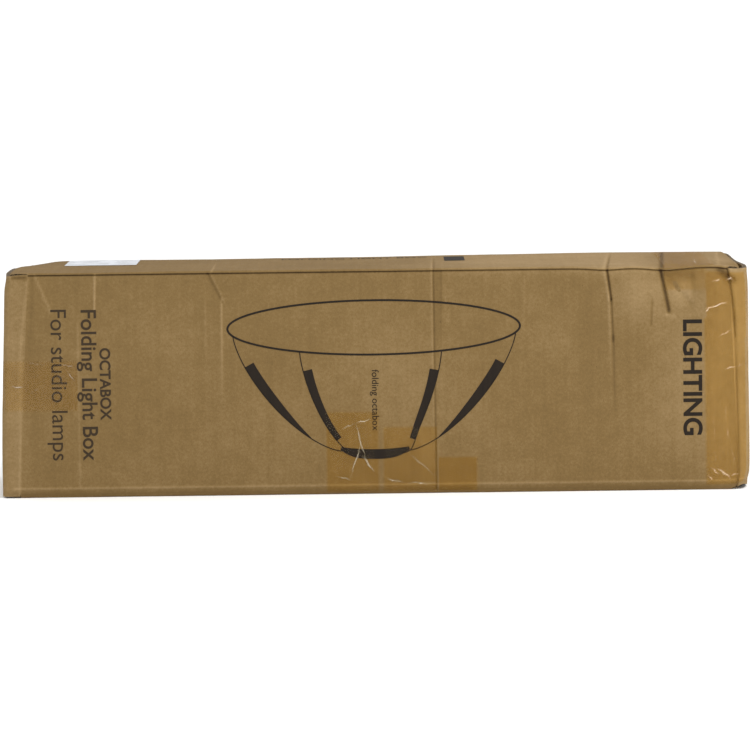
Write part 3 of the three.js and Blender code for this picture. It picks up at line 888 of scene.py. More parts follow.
# Each wrinkle: its two ends in mm along and across its tape, and its height.
LEFT_WRINKLES = [
    Wrinkle((0, 43), (17, 44), 0.6),
    Wrinkle((48, 23), (67, 23.5), 0.75),
    Wrinkle((46, 18), (32, 24), 0.5),
    Wrinkle((9.7, 38.3), (2, 27.5), 0.7),
    Wrinkle((50, 46), (30, 44.5), 0.5),
]
RIGHT_WRINKLES = [
    Wrinkle((0, 169.5), (21, 176), 1.0),
    Wrinkle((0, 167), (4, 171), 1.0),
    Wrinkle((6.6, 195.7), (15.6, 198.7), 0.9),
    Wrinkle((20, 197), (28, 202), 0.8),
    Wrinkle((23, 203), (29, 196), 0.7),
    Wrinkle((12, 142.6), (24.6, 149), 0.75),
    Wrinkle((15.5, 111), (30, 114), 0.8),
    Wrinkle((30, 114), (36, 116), 0.7),
    Wrinkle((18, 88), (28, 88.5), 0.4),
    Wrinkle((18.6, 81), (19, 57), 0.45),
    Wrinkle((19, 57), (23, 40), 0.55),
    Wrinkle((23, 40), (29, 13), 0.5),
    Wrinkle((7.3, 75), (8, 36), 0.45),
    Wrinkle((8, 36), (9.5, 18), 0.4),
    Wrinkle((1.3, 8.6), (6, 3.6), 0.9),
    Wrinkle((5, 16), (12, 8.5), 0.9),
    Wrinkle((10, 16), (19.5, 7.4), 0.95),
    Wrinkle((15, 13.3), (24, 4.6), 0.9),
    Wrinkle((22, 8.3), (31.5, 9.5), 0.85),
]
LOW_WRINKLES = {
    "left": [
        Wrinkle((26.6, 67.5), (42.6, 71), 0.8),
        Wrinkle((26.6, 67.5), (11.6, 61), 0.7),
        Wrinkle((26.6, 67.5), (36, 31), 0.85),
        Wrinkle((33, 36), (43.5, 20), 1.0),
        Wrinkle((32, 48), (21, 15), 0.8),
        Wrinkle((8, 15.6), (22.6, 12), 0.8),
    ],
    "middle": [
        Wrinkle((22, 38.7), (48, 15.4), 0.7),
        Wrinkle((0, 13), (18, 9), 0.9),
        Wrinkle((18, 9), (48, 7.5), 0.8),
    ],
    "right": [Wrinkle((2, 30), (34, 27), 0.3)],
}
TOP_WRINKLES = [Wrinkle((6, 24), (20, 60), 0.5), Wrinkle((30, 24), (34, 100), 0.6)]
LOW_SKEW = {"left": (7, -1, -3, -7), "middle": (0, 2, 0, -1), "right": (0, 1, 0, 0)}


def add_top_tape():
    """A strip across the top, its end turned down over the front's top edge beside the edge's tape."""
    front_low, front_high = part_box("top_tape_on_front_panel")
    top_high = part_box("right_tape_on_top_panel")[1]
    radius = CORNER_RADII[1]
    turn = np.linspace(0, math.pi / 2, 5)
    leg = np.arange(front_low.z, HEIGHT - radius, TAPE_GRID)
    flat = np.arange(radius, HALF_DEPTH + top_high.y, TAPE_GRID) - HALF_DEPTH
    ys = np.concatenate([np.full(len(leg), -HALF_DEPTH), -HALF_DEPTH + radius * (1 - np.cos(turn)), flat[1:]])
    zs = np.concatenate([leg, HEIGHT - radius * (1 - np.sin(turn)), np.full(len(flat) - 1, HEIGHT)])
    facing = np.concatenate([np.zeros(len(leg)), turn, np.full(len(flat) - 1, math.pi / 2)])
    b = np.concatenate([[0], np.cumsum(np.hypot(np.diff(ys), np.diff(zs)))])
    side = front_high.x + (top_high.x - front_high.x) * smooth(b, b[len(leg)], b[len(leg)] + 12 * MM)
    share = np.linspace(0, 1, round((top_high.x - front_low.x) / TAPE_GRID))
    a = (side - front_low.x)[:, None] * share
    points = np.stack([front_low.x + a, *np.broadcast_arrays(ys[:, None], zs[:, None], a)[:2]], axis=2)
    points[0, :, 2] += toothed(a[0])
    normals = np.zeros_like(points)
    normals[..., 1], normals[..., 2] = -np.cos(facing)[:, None], np.sin(facing)[:, None]
    b = np.broadcast_to(b[:, None], a.shape)
    piece = film_mesh("right_top_tape", points, normals, a, b, TOP_WRINKLES, TAPE_TOP)
    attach(piece, "carton")
    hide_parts("right_tape_on_top_panel", "top_tape_on_front_panel")


def add_tape():
    front_tape = ("left_tape_on_front_panel", "left_tape_on_front_flap")
    folded_film("left_tape_front", -1, -1, front_tape, TAPE_LEFT, LEFT_WRINKLES)
    back_tape = ("left_tape_on_back_panel", "left_tape_on_back_flap")
    folded_film("left_tape_back", -1, 1, back_tape, TAPE_LEFT, LEFT_WRINKLES)
    edge_tape = ("right_tape_on_front_panel", "right_tape_on_front_flap")
    folded_film("right_edge_tape", 1, -1, edge_tape, TAPE_RIGHT, RIGHT_WRINKLES)
    for name in ("front", "back"):
        node, body = f"right_seam_tape_{name}", f"right_{name}_flap"
        flap_film(f"{node}_film", node, body, 1, TAPE_RIGHT, [Wrinkle((12, 30), (14, 170), 0.4)])
    add_top_tape()
    for name, wrinkles in LOW_WRINKLES.items():
        panel_film(f"lower_tape_{name}_film", f"lower_tape_{name}", TAPE_LOW, wrinkles, LOW_SKEW[name])


def add_label():
    piece = panel_film("shipping_label_sheet", "shipping_label", LABEL, facing="top")


# ---- print ----
INK_GRID = 1.5 * MM


def front_spot(a, b):
    return Vector((a, -HALF_DEPTH - 30 * MM, b)), Vector((0, 1, 0))


def top_spot(a, b):
    return Vector((a, b, HEIGHT + 30 * MM)), Vector((0, 0, -1))


def lay_ink(name, flat, faces, spot, tree, material=INK):
    """Lays a flat print on the sleeve: each vertex goes straight onto the board, and a hair above it."""
    vertices = []
    for a, b in flat:
        start, way = spot(a, b)
        hit = tree.ray_cast(start, way)[0]
        vertices.append(hit - way * INK_LIFT)
    blank = [(a, b, 0) for a, b in flat]
    piece = make_mesh(name, [tuple(v) for v in vertices], faces, {"blank": blank})
    way = spot(0, 0.1)[1]
    if sum(face.normal.dot(way) for face in piece.data.polygons) > 0:
        piece.data.flip_normals()
    piece.data.materials.append(material)
    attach(piece, "carton")
    return piece


def ribbon(line, width, closed=False):
    """The flat outline of a drawn line, as points across it at each place. width is one value or many."""
    line = np.asarray(line, float)
    ahead = np.roll(line, -1, axis=0) - np.roll(line, 1, axis=0)
    if not closed:
        ahead[0], ahead[-1] = line[1] - line[0], line[-1] - line[-2]
    side = np.stack([-ahead[:, 1], ahead[:, 0]], axis=1) / np.linalg.norm(ahead, axis=1)[:, None]
    half = np.broadcast_to(np.asarray(width, float) / 2, (len(line),))
    count = max(2, round(2 * half.max() / INK_GRID) + 1)
    across = np.linspace(-1, 1, count)
    flat = line[:, None, :] + (side * half[:, None])[:, None, :] * across[None, :, None]
    faces = quads(len(line), count)
    if closed:
        last, first = range((len(line) - 1) * count, len(line) * count), range(count)
        faces += strip(list(last), list(first))
    return flat.reshape(-1, 2), faces


def join_flat(parts):
    """Several flat outlines as one."""
    flat, faces, start = [], [], 0
    for points, cells in parts:
        flat.append(points)
        faces += [[start + v for v in cell] for cell in cells]
        start += len(points)
    return np.concatenate(flat), faces


# The drawing: an eight-ribbed bowl seen from a little above its rim, hub down.
BOWL_MIDDLE = (-0.7 * MM, 161.8 * MM)
BOWL_RIM = (140.9 * MM, 26.2 * MM)
BOWL_DEPTH = 118 * MM
BOWL_HUB = 33 * MM
BOWL_CURVE = (1.4, 0.69)  # powers that shape the bowl's side
# degrees round the rim, at the rim and at the hub, of the four ribs that face the reader
RIB_TURNS = ((14, 14), (62.5, 40), (120.6, 120.6), (164.5, 166))
RIB_BEND = 8  # how late in its run a rib turns towards its place at the hub
RIM_LINE = 1.9 * MM
RIB_LINE = 0.9 * MM
SLEEVE_BAND = (0.26, 0.88)  # the stretch of an outer rib that its cloth sleeve covers
INNER_BAND = (0.17, 0.83)
SLEEVE_WIDTH = (9.5 * MM, 0.7 * MM)  # at its upper and lower end
INNER_WIDTH = (8.8 * MM, 5.5 * MM)
SLEEVE_TAPER = 3.0
HUB_PAD = (2.5 * MM, 9.5 * MM)  # how far the hub's pad rises at its ends, and how deep it is


def bowl_point(turn, down):
    """A point on the bowl: turn is the angle round its rim, and down is 0 at the rim and 1 at the hub."""
    power, root = BOWL_CURVE
    radius = BOWL_HUB + (BOWL_RIM[0] - BOWL_HUB) * (1 - down**power) ** root
    dip = BOWL_RIM[1] * radius / BOWL_RIM[0] * math.sin(turn)
    return BOWL_MIDDLE[0] + radius * math.cos(turn), BOWL_MIDDLE[1] - dip - BOWL_DEPTH * down


def rib_points(turns, shares):
    at_rim, at_hub = (math.radians(degrees) for degrees in turns)
    return np.array([bowl_point(at_rim + (at_hub - at_rim) * down**RIB_BEND, down) for down in shares])


def band_beside(line, width):
    """A band whose outer edge is a rib's line, on the side towards the drawing's middle."""
    ahead = np.gradient(line, axis=0)
    side = np.stack([-ahead[:, 1], ahead[:, 0]], axis=1) / np.linalg.norm(ahead, axis=1)[:, None]
    outward = np.sign((side[:, 0] * (line[:, 0] - BOWL_MIDDLE[0])).mean())
    return ribbon(line - outward * side * width[:, None] / 2, width)


def add_drawing(tree):
    around = np.linspace(0, 2 * math.pi, 600, endpoint=False)
    rim = np.array(BOWL_MIDDLE) + np.array(BOWL_RIM) * np.stack([np.cos(around), np.sin(around)], axis=1)
    lines = [ribbon(rim, RIM_LINE, closed=True)]
    bands = []
    for turns in RIB_TURNS:
        lines.append(ribbon(rib_points(turns, np.linspace(0, 1, 180)), RIB_LINE))
        outer = abs(math.cos(math.radians(turns[0]))) > 0.7
        shares = np.linspace(*(SLEEVE_BAND if outer else INNER_BAND), 110)
        upper, lower = SLEEVE_WIDTH if outer else INNER_WIDTH
        narrowing = np.linspace(0, 1, len(shares)) ** (SLEEVE_TAPER if outer else 1)
        bands.append(band_beside(rib_points(turns, shares), upper + (lower - upper) * narrowing))
    hub_x = np.linspace(-BOWL_HUB, BOWL_HUB, 60)
    out = np.abs(hub_x / BOWL_HUB)
    top = BOWL_MIDDLE[1] - BOWL_DEPTH + HUB_PAD[0] * out**2
    base = BOWL_MIDDLE[1] - BOWL_DEPTH - HUB_PAD[1] * (1 - out**3)
    bands.append(ribbon(np.stack([hub_x + BOWL_MIDDLE[0], (top + base) / 2], axis=1), top - base))
    lay_ink("printed_bowl_lines", *join_flat(lines), front_spot, tree)
    lay_ink("printed_bowl_bands", *join_flat(bands), front_spot, tree)


def word_outline(text, length, weight=0.0):
    """The flat faces of a word in the plain built-in font, cut fine, at the length asked for."""
    curve = bpy.data.curves.new(text, "FONT")
    curve.body = text
    curve.offset = weight
    holder = bpy.data.objects.new(text, curve)
    bpy.context.scene.collection.objects.link(holder)
    bpy.context.view_layer.update()
    mesh = bpy.data.meshes.new_from_object(holder)
    bpy.data.objects.remove(holder)
    flat = np.array([v.co[:2] for v in mesh.vertices])
    scale = length / (flat[:, 0].max() - flat[:, 0].min())
    for vertex in mesh.vertices:
        vertex.co = (vertex.co.x * scale, vertex.co.y * scale, 0)
    work = bmesh.new()
    work.from_mesh(mesh)
    for _ in range(6):
        bmesh.ops.triangulate(work, faces=work.faces)
        long_edges = [edge for edge in work.edges if edge.calc_length() > 1.5 * INK_GRID]
        if not long_edges:
            break
        bmesh.ops.subdivide_edges(work, edges=long_edges, cuts=1)
    bmesh.ops.triangulate(work, faces=work.faces)
    work.verts.index_update()
    flat = np.array([v.co[:2] for v in work.verts])
    faces = [[v.index for v in face.verts] for face in work.faces]
    work.free()
    return flat - np.array([flat[:, 0].min(), 0]), faces


def add_word(name, text, length, x, z, tree, weight=0.0, material=INK):
    """A word on the front that reads downwards, with the feet of its letters at x and its start at z."""
    flat, faces = word_outline(text, length, weight)
    turned = np.stack([x + flat[:, 1], z - flat[:, 0]], axis=1)
    lay_ink(name, turned, faces, front_spot, tree, material)


def add_top_word(name, text, length, x, y, tree, weight=0.0):
    flat, faces = word_outline(text, length, weight)
    lay_ink(name, flat + np.array([x, y]), faces, top_spot, tree)


def add_words(tree):
    add_word("printed_word_type", "OCTABOX", 70 * MM, -265 * MM, 145 * MM, tree, 0.025, FADED_INK)
    kind = "Folding Light Box"
    add_word("printed_word_kind", kind, 146 * MM, -282.5 * MM, 182 * MM, tree, 0.012, FADED_INK)
    add_word("printed_word_note", "For studio lamps", 146 * MM, -312 * MM, 182.5 * MM, tree, 0.0, FADED_INK)
    add_word("printed_word_large", "LIGHTING", 112 * MM, 298 * MM, 165.5 * MM, tree, 0.025)
    add_word("printed_word_small", "folding octabox", 59 * MM, -3 * MM, 121 * MM, tree)
    add_top_word("printed_word_top", "FOLDING LIGHT BOX", 146 * MM, -92 * MM, 60 * MM, tree, 0.01)
    block = ribbon([(80 * MM, 8 * MM), (80 * MM, 66 * MM)], 20 * MM)
    lay_ink("printed_block_top", *subdivided(block), top_spot, tree)


def subdivided(outline):
    """A ribbon with more places along it, so that it follows the board."""
    flat, _ = outline
    half = len(flat) // 2
    steps = np.linspace(0, 1, 20)
    first, last = flat[:half], flat[half:]
    points = np.concatenate([first + (last - first) * t for t in steps])
    return points, quads(len(steps), half)


# ---- materials of the contents ----
def cloth(name, dark, pale, thread, sheen, roughness=0.75, bump_height=0.15 * MM):
    """Woven cloth: a plain weave of threads, with soft clouding and fine lint."""
    shader = Shader(name)
    blank = shader.attribute("blank")
    parts = shader.node("SeparateXYZ", {0: blank})
    warp = shader.math("SINE", shader.math("MULTIPLY", parts.outputs[0], 2 * math.pi / thread))
    weft = shader.math("SINE", shader.math("MULTIPLY", parts.outputs[1], 2 * math.pi / thread))
    weave = shader.math("MULTIPLY", warp, weft)
    cloud = shader.noise(blank, 25, 4)
    lint = shader.noise(blank, 700, 2)
    value = shader.math("ADD", shader.spread(cloud, 0.5, 0.45), shader.spread(lint, 0.4))
    value = shader.math("MULTIPLY_ADD", weave, 0.12, value)
    shader.set(
        Base_Color=shader.ramp(value, [(0.1, dark), (0.9, pale)]),
        Roughness=shader.spread(cloud, 0.2, roughness),
        Normal=shader.bump(weave, bump_height, 0.7),
    )
    shader.surface.inputs["Sheen Weight"].default_value = sheen
    return shader.material


def silver_lining():
    """The canopy's silver inside: crinkled, metal-coated cloth."""
    shader = Shader("silver_lining")
    blank = shader.attribute("blank")
    crinkle = shader.noise(blank, 160, 6, 0.7)
    stops = [(0.2, (0.42, 0.43, 0.45)), (0.8, (0.74, 0.75, 0.77))]
    shader.set(
        Base_Color=shader.ramp(crinkle, stops),
        Metallic=0.85,
        Roughness=shader.spread(crinkle, 0.25, 0.38),
        Normal=shader.bump(crinkle, 0.6 * MM),
    )
    return shader.material


def metal(name, dark, pale, roughness, grain, metallic=1.0, stretch=(1, 1, 1)):
    """Metal with a fine grain and faint scratches. stretch draws the grain out along an axis."""
    shader = Shader(name)
    place = shader.place()
    lines = shader.noise(shader.stretched(place, stretch), grain, 4, 0.6)
    cloud = shader.noise(place, 40, 3)
    scratch = shader.step(shader.noise(shader.stretched(place, (1, 14, 3)), 90, 3), 0.68, 0.72)
    value = shader.math("ADD", shader.spread(lines, 0.8, 0.45), shader.math("MULTIPLY", scratch, 0.35))
    shader.set(
        Base_Color=shader.ramp(value, [(0.1, dark), (0.9, pale)]),
        Metallic=metallic,
        Roughness=shader.math("ADD", shader.spread(cloud, 0.16, roughness), shader.spread(lines, 0.14)),
        Normal=shader.bump(lines, 0.04 * MM, 0.6),
    )
    return shader.material


def moulded(name, dark, pale, roughness):
    """Moulded plastic with a fine spark-eroded grain."""
    shader = Shader(name)
    place = shader.place()
    grain = shader.noise(place, 1400, 2)
    cloud = shader.noise(place, 30, 4)
    rub = shader.step(shader.noise(place, 110, 5, 0.7), 0.60, 0.75)
    value = shader.math("ADD", shader.spread(cloud, 0.6, 0.4), shader.math("MULTIPLY", rub, 0.35))
    shader.set(
        Base_Color=shader.ramp(value, [(0.1, dark), (0.9, pale)]),
        Roughness=shader.spread(cloud, 0.2, roughness),
        Normal=shader.bump(grain, 0.08 * MM, 0.7),
    )
    return shader.material


def paper():
    """Booklet paper with a plain grey band on the cover."""
    shader = Shader("booklet_paper")
    blank = shader.attribute("blank")
    parts = shader.node("SeparateXYZ", {0: blank})
    past = shader.step(parts.outputs[0], 0.0250, 0.0252)
    band = shader.math("SUBTRACT", past, shader.step(parts.outputs[0], 0.0500, 0.0502))
    fibre = shader.noise(blank, 900, 3)
    value = shader.math("MULTIPLY_ADD", band, -0.5, shader.spread(fibre, 0.2, 0.85))
    stops = [(0.0, (0.10, 0.10, 0.11)), (1.0, (0.80, 0.78, 0.73))]
    shader.set(Base_Color=shader.ramp(value, stops), Roughness=shader.spread(fibre, 0.2, 0.7))
    return shader.material


BLACK_CLOTH = cloth("black_cloth", (0.010, 0.010, 0.012), (0.038, 0.038, 0.042), 0.7 * MM, 0.25)
BAG_CLOTH = cloth("bag_cloth", (0.014, 0.014, 0.017), (0.050, 0.050, 0.056), 1.1 * MM, 0.15)
GRID_CLOTH = cloth("grid_cloth", (0.008, 0.008, 0.009), (0.030, 0.030, 0.032), 1.6 * MM, 0.3)
WEBBING = cloth("webbing", (0.010, 0.010, 0.012), (0.045, 0.045, 0.050), 2.2 * MM, 0.2, bump_height=0.4 * MM)
DIFFUSER = cloth("diffuser_cloth", (0.60, 0.60, 0.58), (0.82, 0.82, 0.80), 0.8 * MM, 0.2)
SILVER = silver_lining()
PAPER = paper()
CAST_BLACK = moulded("black_plastic", (0.012, 0.012, 0.013), (0.060, 0.060, 0.064), 0.5)
RUBBER = moulded("black_rubber", (0.012, 0.012, 0.012), (0.040, 0.040, 0.040), 0.8)
RED = moulded("red_plastic", (0.22, 0.012, 0.010), (0.46, 0.040, 0.030), 0.35)
ANODISED = metal("anodised_black", (0.012, 0.012, 0.014), (0.060, 0.060, 0.066), 0.36, 300, 0.8)
BRUSHED = metal("brushed_steel", (0.32, 0.32, 0.33), (0.60, 0.60, 0.61), 0.30, 260, stretch=(0.06, 1, 1))
FINISHES = {
    "hub_plate": (CAST_BLACK, 0.8 * MM),
    "bayonet_ring": (ANODISED, 0.6 * MM),
    "ring_retainer": (ANODISED, 0.6 * MM),
    "release_button": (RED, 0.5 * MM),
    "retainer_screw": (BRUSHED, 0.3 * MM),
    "rib_hinge_pin": (BRUSHED, 0.3 * MM),
    "rib": (BRUSHED, 0.3 * MM),
}


def finish_hard_parts():
    """The hub, its ring, the ribs and their pins keep their shape, with rounded edges and real surfaces."""
    for node in bpy.data.objects:
        kind = node.name.rstrip("_12345678")
        kind = "release_button" if kind.startswith("release_button") else kind
        if kind not in FINISHES or node.type != "MESH":
            continue
        material, width = FINISHES[kind]
        node.data.materials.clear()
        node.data.materials.append(material)
        bevel = node.modifiers.new("rounded", "BEVEL")
        bevel.width, bevel.segments, bevel.limit_method = width, 2, "ANGLE"
        bevel.angle_limit = math.radians(40)


# ---- the folded softbox: cloth ----
RIB_COUNT = 8
PLEATS = 4  # between two ribs
CLOTH = 0.5 * MM
CANOPY_STEPS = 150
CANOPY_HOLLOW = 27 * MM  # how deep the pleats are at the rim
CHANNEL = 4.0 * MM  # outer radius of the cloth channel that each rib runs in
CHANNEL_SPAN = (-258 * MM, 236 * MM)

RETAINER_LOW, RETAINER_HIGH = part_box("ring_retainer")
AXIS = np.array([0, 0, (RETAINER_LOW.z + RETAINER_HIGH.z) / 2])


def rib_line(index):
    """The two ends of a rib's middle line, from the hub to its tip."""
    low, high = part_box(f"rib_{index}")
    middle = (np.array(low) + np.array(high)) / 2 - AXIS
    way = np.array([0, middle[1], middle[2]])
    way /= np.linalg.norm(way)
    radius = 3 * MM
    outer = max(abs(high.y), abs(low.y), abs(high.z - AXIS[2]), abs(low.z - AXIS[2]))
    widest = outer - radius
    hub = widest / max(abs(way[1]), abs(way[2]))
    tip = 2 * np.linalg.norm(middle[1:]) - hub
    return np.array([high.x, 0, 0]) + AXIS + way * hub, np.array([low.x, 0, 0]) + AXIS + way * tip, way


def cloth_piece(name, vertices, faces, blank, materials, slot, thickness=CLOTH, body="carton"):
    """A sheet of cloth as a mesh of its own thickness."""
    piece = make_mesh(name, vertices, faces, {"blank": blank})
    for material in materials:
        piece.data.materials.append(material)
    thicken = piece.modifiers.new("thickness", "SOLIDIFY")
    thicken.thickness, thicken.offset = thickness, -1
    thicken.material_offset = len(materials) - 1
    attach(piece, body)
    return piece


def canopy_grid(low, high, first_turn):
    """The gathered canopy: pleats that are deepest at the rim, and lobes between the ribs."""
    turns = np.linspace(0, 2 * math.pi, RIB_COUNT * PLEATS * 12, endpoint=False)
    xs = np.linspace(low.x, high.x, CANOPY_STEPS)
    x, turn = np.meshgrid(xs, turns, indexing="ij")
    toward_rim = (high.x - x) / (high.x - low.x)
    round_axis = np.stack([x.ravel() * 0.3, np.cos(turn).ravel(), np.sin(turn).ravel()], axis=1)
    drift = waviness(round_axis, 2.2, 5.0).reshape(x.shape)
    phase = turn - first_turn
    lobe = 0.5 - 0.5 * np.cos(RIB_COUNT * phase)
    fold = 0.5 - 0.5 * np.cos(RIB_COUNT * PLEATS * phase + 1.6 * drift)
    depth = 3 * MM + CANOPY_HOLLOW * toward_rim**0.7 * (1 + 0.25 * drift)
    narrow = 9 * MM * smooth(x, high.x - 34 * MM, high.x)
    flare = 8 * MM * smooth(-x, 289 * MM, 318 * MM)
    radius = 60 * MM + 6 * MM * lobe + flare - narrow - depth * fold**0.8
    surface = np.stack([x.ravel(), 0.05 * turn.ravel(), x.ravel()], axis=1)
    radius += 0.8 * MM * waviness(surface, 60, 2.0).reshape(x.shape)
    swirl = turn + 0.24 * toward_rim * fold
    hem = 3 * MM * drift * smooth(-x, -low.x - 30 * MM, -low.x)
    y, z = radius * np.cos(swirl), AXIS[2] + radius * np.sin(swirl)
    inside = np.clip(x + hem, low.x, high.x)
    blank = np.stack([x, turn * 0.2 * (0.4 + toward_rim), np.zeros(x.shape)], axis=2)
    return np.stack([inside, y, z], axis=2), blank


def add_canopy():
    low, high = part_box("folded_canopy")
    _, _, way = rib_line(1)
    points, blank = canopy_grid(low, high, math.atan2(way[2], way[1]))
    faces = quads(*points.shape[:2], wrap=True)
    vertices, blanks = [points.reshape(-1, 3)], [blank.reshape(-1, 3)]
    start = len(vertices[0])
    for index in range(1, RIB_COUNT + 1):
        tube, cells, place = rib_channel(index, start)
        vertices.append(tube)
        blanks.append(place)
        faces += cells
        start += len(tube)
    piece = cloth_piece(
        "gathered_canopy",
        np.concatenate(vertices),
        faces,
        np.concatenate(blanks),
        [BLACK_CLOTH, SILVER],
        "black_fabric",
    )
    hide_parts("folded_canopy")


def rib_channel(index, start):
    """The cloth channel round a rib: a loose tube with small gathers."""
    hub, tip, way = rib_line(index)
    steps, around = 110, 14
    xs = np.linspace(*CHANNEL_SPAN, steps)
    share = (hub[0] - xs) / (hub[0] - tip[0])
    middle = hub + (tip - hub) * share[:, None]
    side = np.cross([1, 0, 0], way)
    turns = np.linspace(0, 2 * math.pi, around, endpoint=False)
    gather = 1 + 0.07 * np.sin(xs[:, None] * 260 + 1.7 * index) * np.cos(turns + 2 * index)[None, :]
    radius = CHANNEL * gather
    points = middle[:, None, :] + radius[..., None] * (
        np.cos(turns)[None, :, None] * way + np.sin(turns)[None, :, None] * side
    )
    along = np.broadcast_to(xs[:, None], radius.shape)
    blank = np.stack([along, radius * turns, np.zeros(radius.shape)], axis=2)
    cells = quads(steps, around, wrap=True, start=start)
    return points.reshape(-1, 3), [cell[::-1] for cell in cells], blank.reshape(-1, 3)


def add_rib_tips():
    """A rubber cap over the end of each rib."""
    vertices, faces = [], []
    profile = [(0, 4.2), (10, 4.4), (13, 4.2), (15, 3.4), (16.2, 2.0), (16.6, 0.1)]
    turns = np.linspace(0, 2 * math.pi, 16, endpoint=False)
    for index in range(1, RIB_COUNT + 1):
        _, tip, way = rib_line(index)
        side = np.cross([1, 0, 0], way)
        rows = [(0.0, 3.1)] + profile
        start = len(vertices)
        for out, radius in rows:
            middle = tip + np.array([11 - out, 0, 0]) * MM
            for turn in turns:
                vertices.append(middle + radius * MM * (math.cos(turn) * way + math.sin(turn) * side))
        faces += quads(len(rows), len(turns), wrap=True, start=start)
        last = start + (len(rows) - 1) * len(turns)
        faces.append(list(range(last, last + len(turns))))
    piece = make_mesh("rib_tip_caps", vertices, faces)
    close_and_sharpen(piece, 40)
    piece.data.materials.append(RUBBER)
    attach(piece, "carton")


STRAP_OVERLAP = 0.75  # radians that a strap's tail lies over its own start


def add_strap(node):
    """A webbing strap pulled tight round the ribs, its tail lying over its start."""
    low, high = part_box(node)
    inner = (high.y - low.y) / 2 - 2 * MM
    turns = np.linspace(0, 2 * math.pi + STRAP_OVERLAP, 220)
    across = np.linspace(low.x, high.x, 16)
    lift = 1.9 * MM * smooth(turns, 2 * math.pi - 0.35, 2 * math.pi - 0.05)
    sway = 0.5 * MM * np.cos(RIB_COUNT * turns)
    radius = inner + 1.7 * MM + lift + np.clip(sway, -0.4 * MM, 0)
    skew = 1.5 * MM * np.sin(turns * 0.5)
    x = across[None, :] + skew[:, None] * np.ones(len(across))
    turn = (turns + math.pi / 3)[:, None] * np.ones(len(across))
    edge = 0.25 * MM * np.cos((across - low.x) / (high.x - low.x) * 2 * math.pi)[None, :]
    reach = radius[:, None] + edge
    points = np.stack([x, reach * np.cos(turn), AXIS[2] + reach * np.sin(turn)], axis=2).reshape(-1, 3)
    blank = np.stack([turn * inner, x, np.zeros(x.shape)], axis=2).reshape(-1, 3)
    faces = quads(len(turns), len(across))
    piece = cloth_piece(f"{node}_webbing", points, faces, blank, [WEBBING], "black_fabric", 1.5 * MM)
    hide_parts(node)


# ---- folded sheets ----
Fold = namedtuple("Fold", "node layers flat area material slot thickness ripple seed")
FOLDS = [
    Fold("front_diffuser", 8, (0.9, 0.9), 0.67, DIFFUSER, "diffuser_fabric", 0.4 * MM, 0.12 * MM, 3),
    Fold("inner_diffuser", 6, (0.78, 0.78), 0.50, DIFFUSER, "diffuser_fabric", 0.4 * MM, 0.12 * MM, 8),
    Fold("honeycomb_grid", 8, (0.9, 0.9), 0.67, GRID_CLOTH, "black_fabric", 0.8 * MM, 0.35 * MM, 5),
    Fold("carry_bag", 3, (0.62, 0.50), None, BAG_CLOTH, "black_fabric", 0.8 * MM, 0.2 * MM, 12),
]
FOLD_STEP = 6 * MM


def folded_line(fold, low, high):
    """The sheet's line across its folds: sideways place, height, and length so far."""
    pitch = (high.z - low.z) / fold.layers
    spots = []
    for layer in range(fold.layers):
        way = 1 if layer % 2 == 0 else -1
        half = high.y - pitch / 2 - 3 * MM * (0.5 + 0.5 * math.sin(fold.seed + 2.3 * layer))
        z = low.z + pitch * (layer + 0.5)
        spots += [(way * y, z) for y in np.linspace(-half, half, 26)]
        if layer < fold.layers - 1:
            for turn in np.radians(np.arange(-60, 90, 30)):
                out = half + pitch / 2 * math.cos(turn)
                spots.append((way * out, z + pitch / 2 * (1 + math.sin(turn))))
    spots = np.array(spots)
    gaps = np.linalg.norm(np.diff(spots, axis=0), axis=1)
    return spots, np.concatenate([[0], np.cumsum(gaps)])


def add_folded_sheet(fold):
    """A sheet folded to and fro, each fold lying a little off the one below."""
    low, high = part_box(fold.node)
    spots, lengths = folded_line(fold, low, high)
    xs = np.linspace(low.x, high.x, round((high.x - low.x) / FOLD_STEP))
    x, y = np.meshgrid(xs, spots[:, 0], indexing="ij")
    length = np.broadcast_to(lengths, x.shape)
    z = np.broadcast_to(spots[:, 1], x.shape)
    here = np.stack([x.ravel(), length.ravel() * 0.4, np.zeros(x.size)], axis=1)
    sway = waviness(here, 9, fold.seed).reshape(x.shape)
    fine = waviness(here, 55, fold.seed).reshape(x.shape)
    ends = smooth(np.abs(x - (low.x + high.x) / 2), (high.x - low.x) / 2 - 30 * MM, (high.x - low.x) / 2)
    shifted = x + 5 * MM * sway * ends - 3 * MM * np.sign(x) * ends
    narrowed = y * (1 - 0.012 * np.abs(sway))
    points = np.stack([shifted, narrowed, z + fold.ripple * fine], axis=2)
    blank = np.stack([x, length, np.zeros(x.shape)], axis=2).reshape(-1, 3)
    faces = quads(*x.shape)
    name = f"{fold.node}_folded"
    piece = cloth_piece(name, points.reshape(-1, 3), faces, blank, [fold.material], fold.slot, fold.thickness)
    piece.modifiers["thickness"].offset = 0
    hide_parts(fold.node)


LEAVES = 6


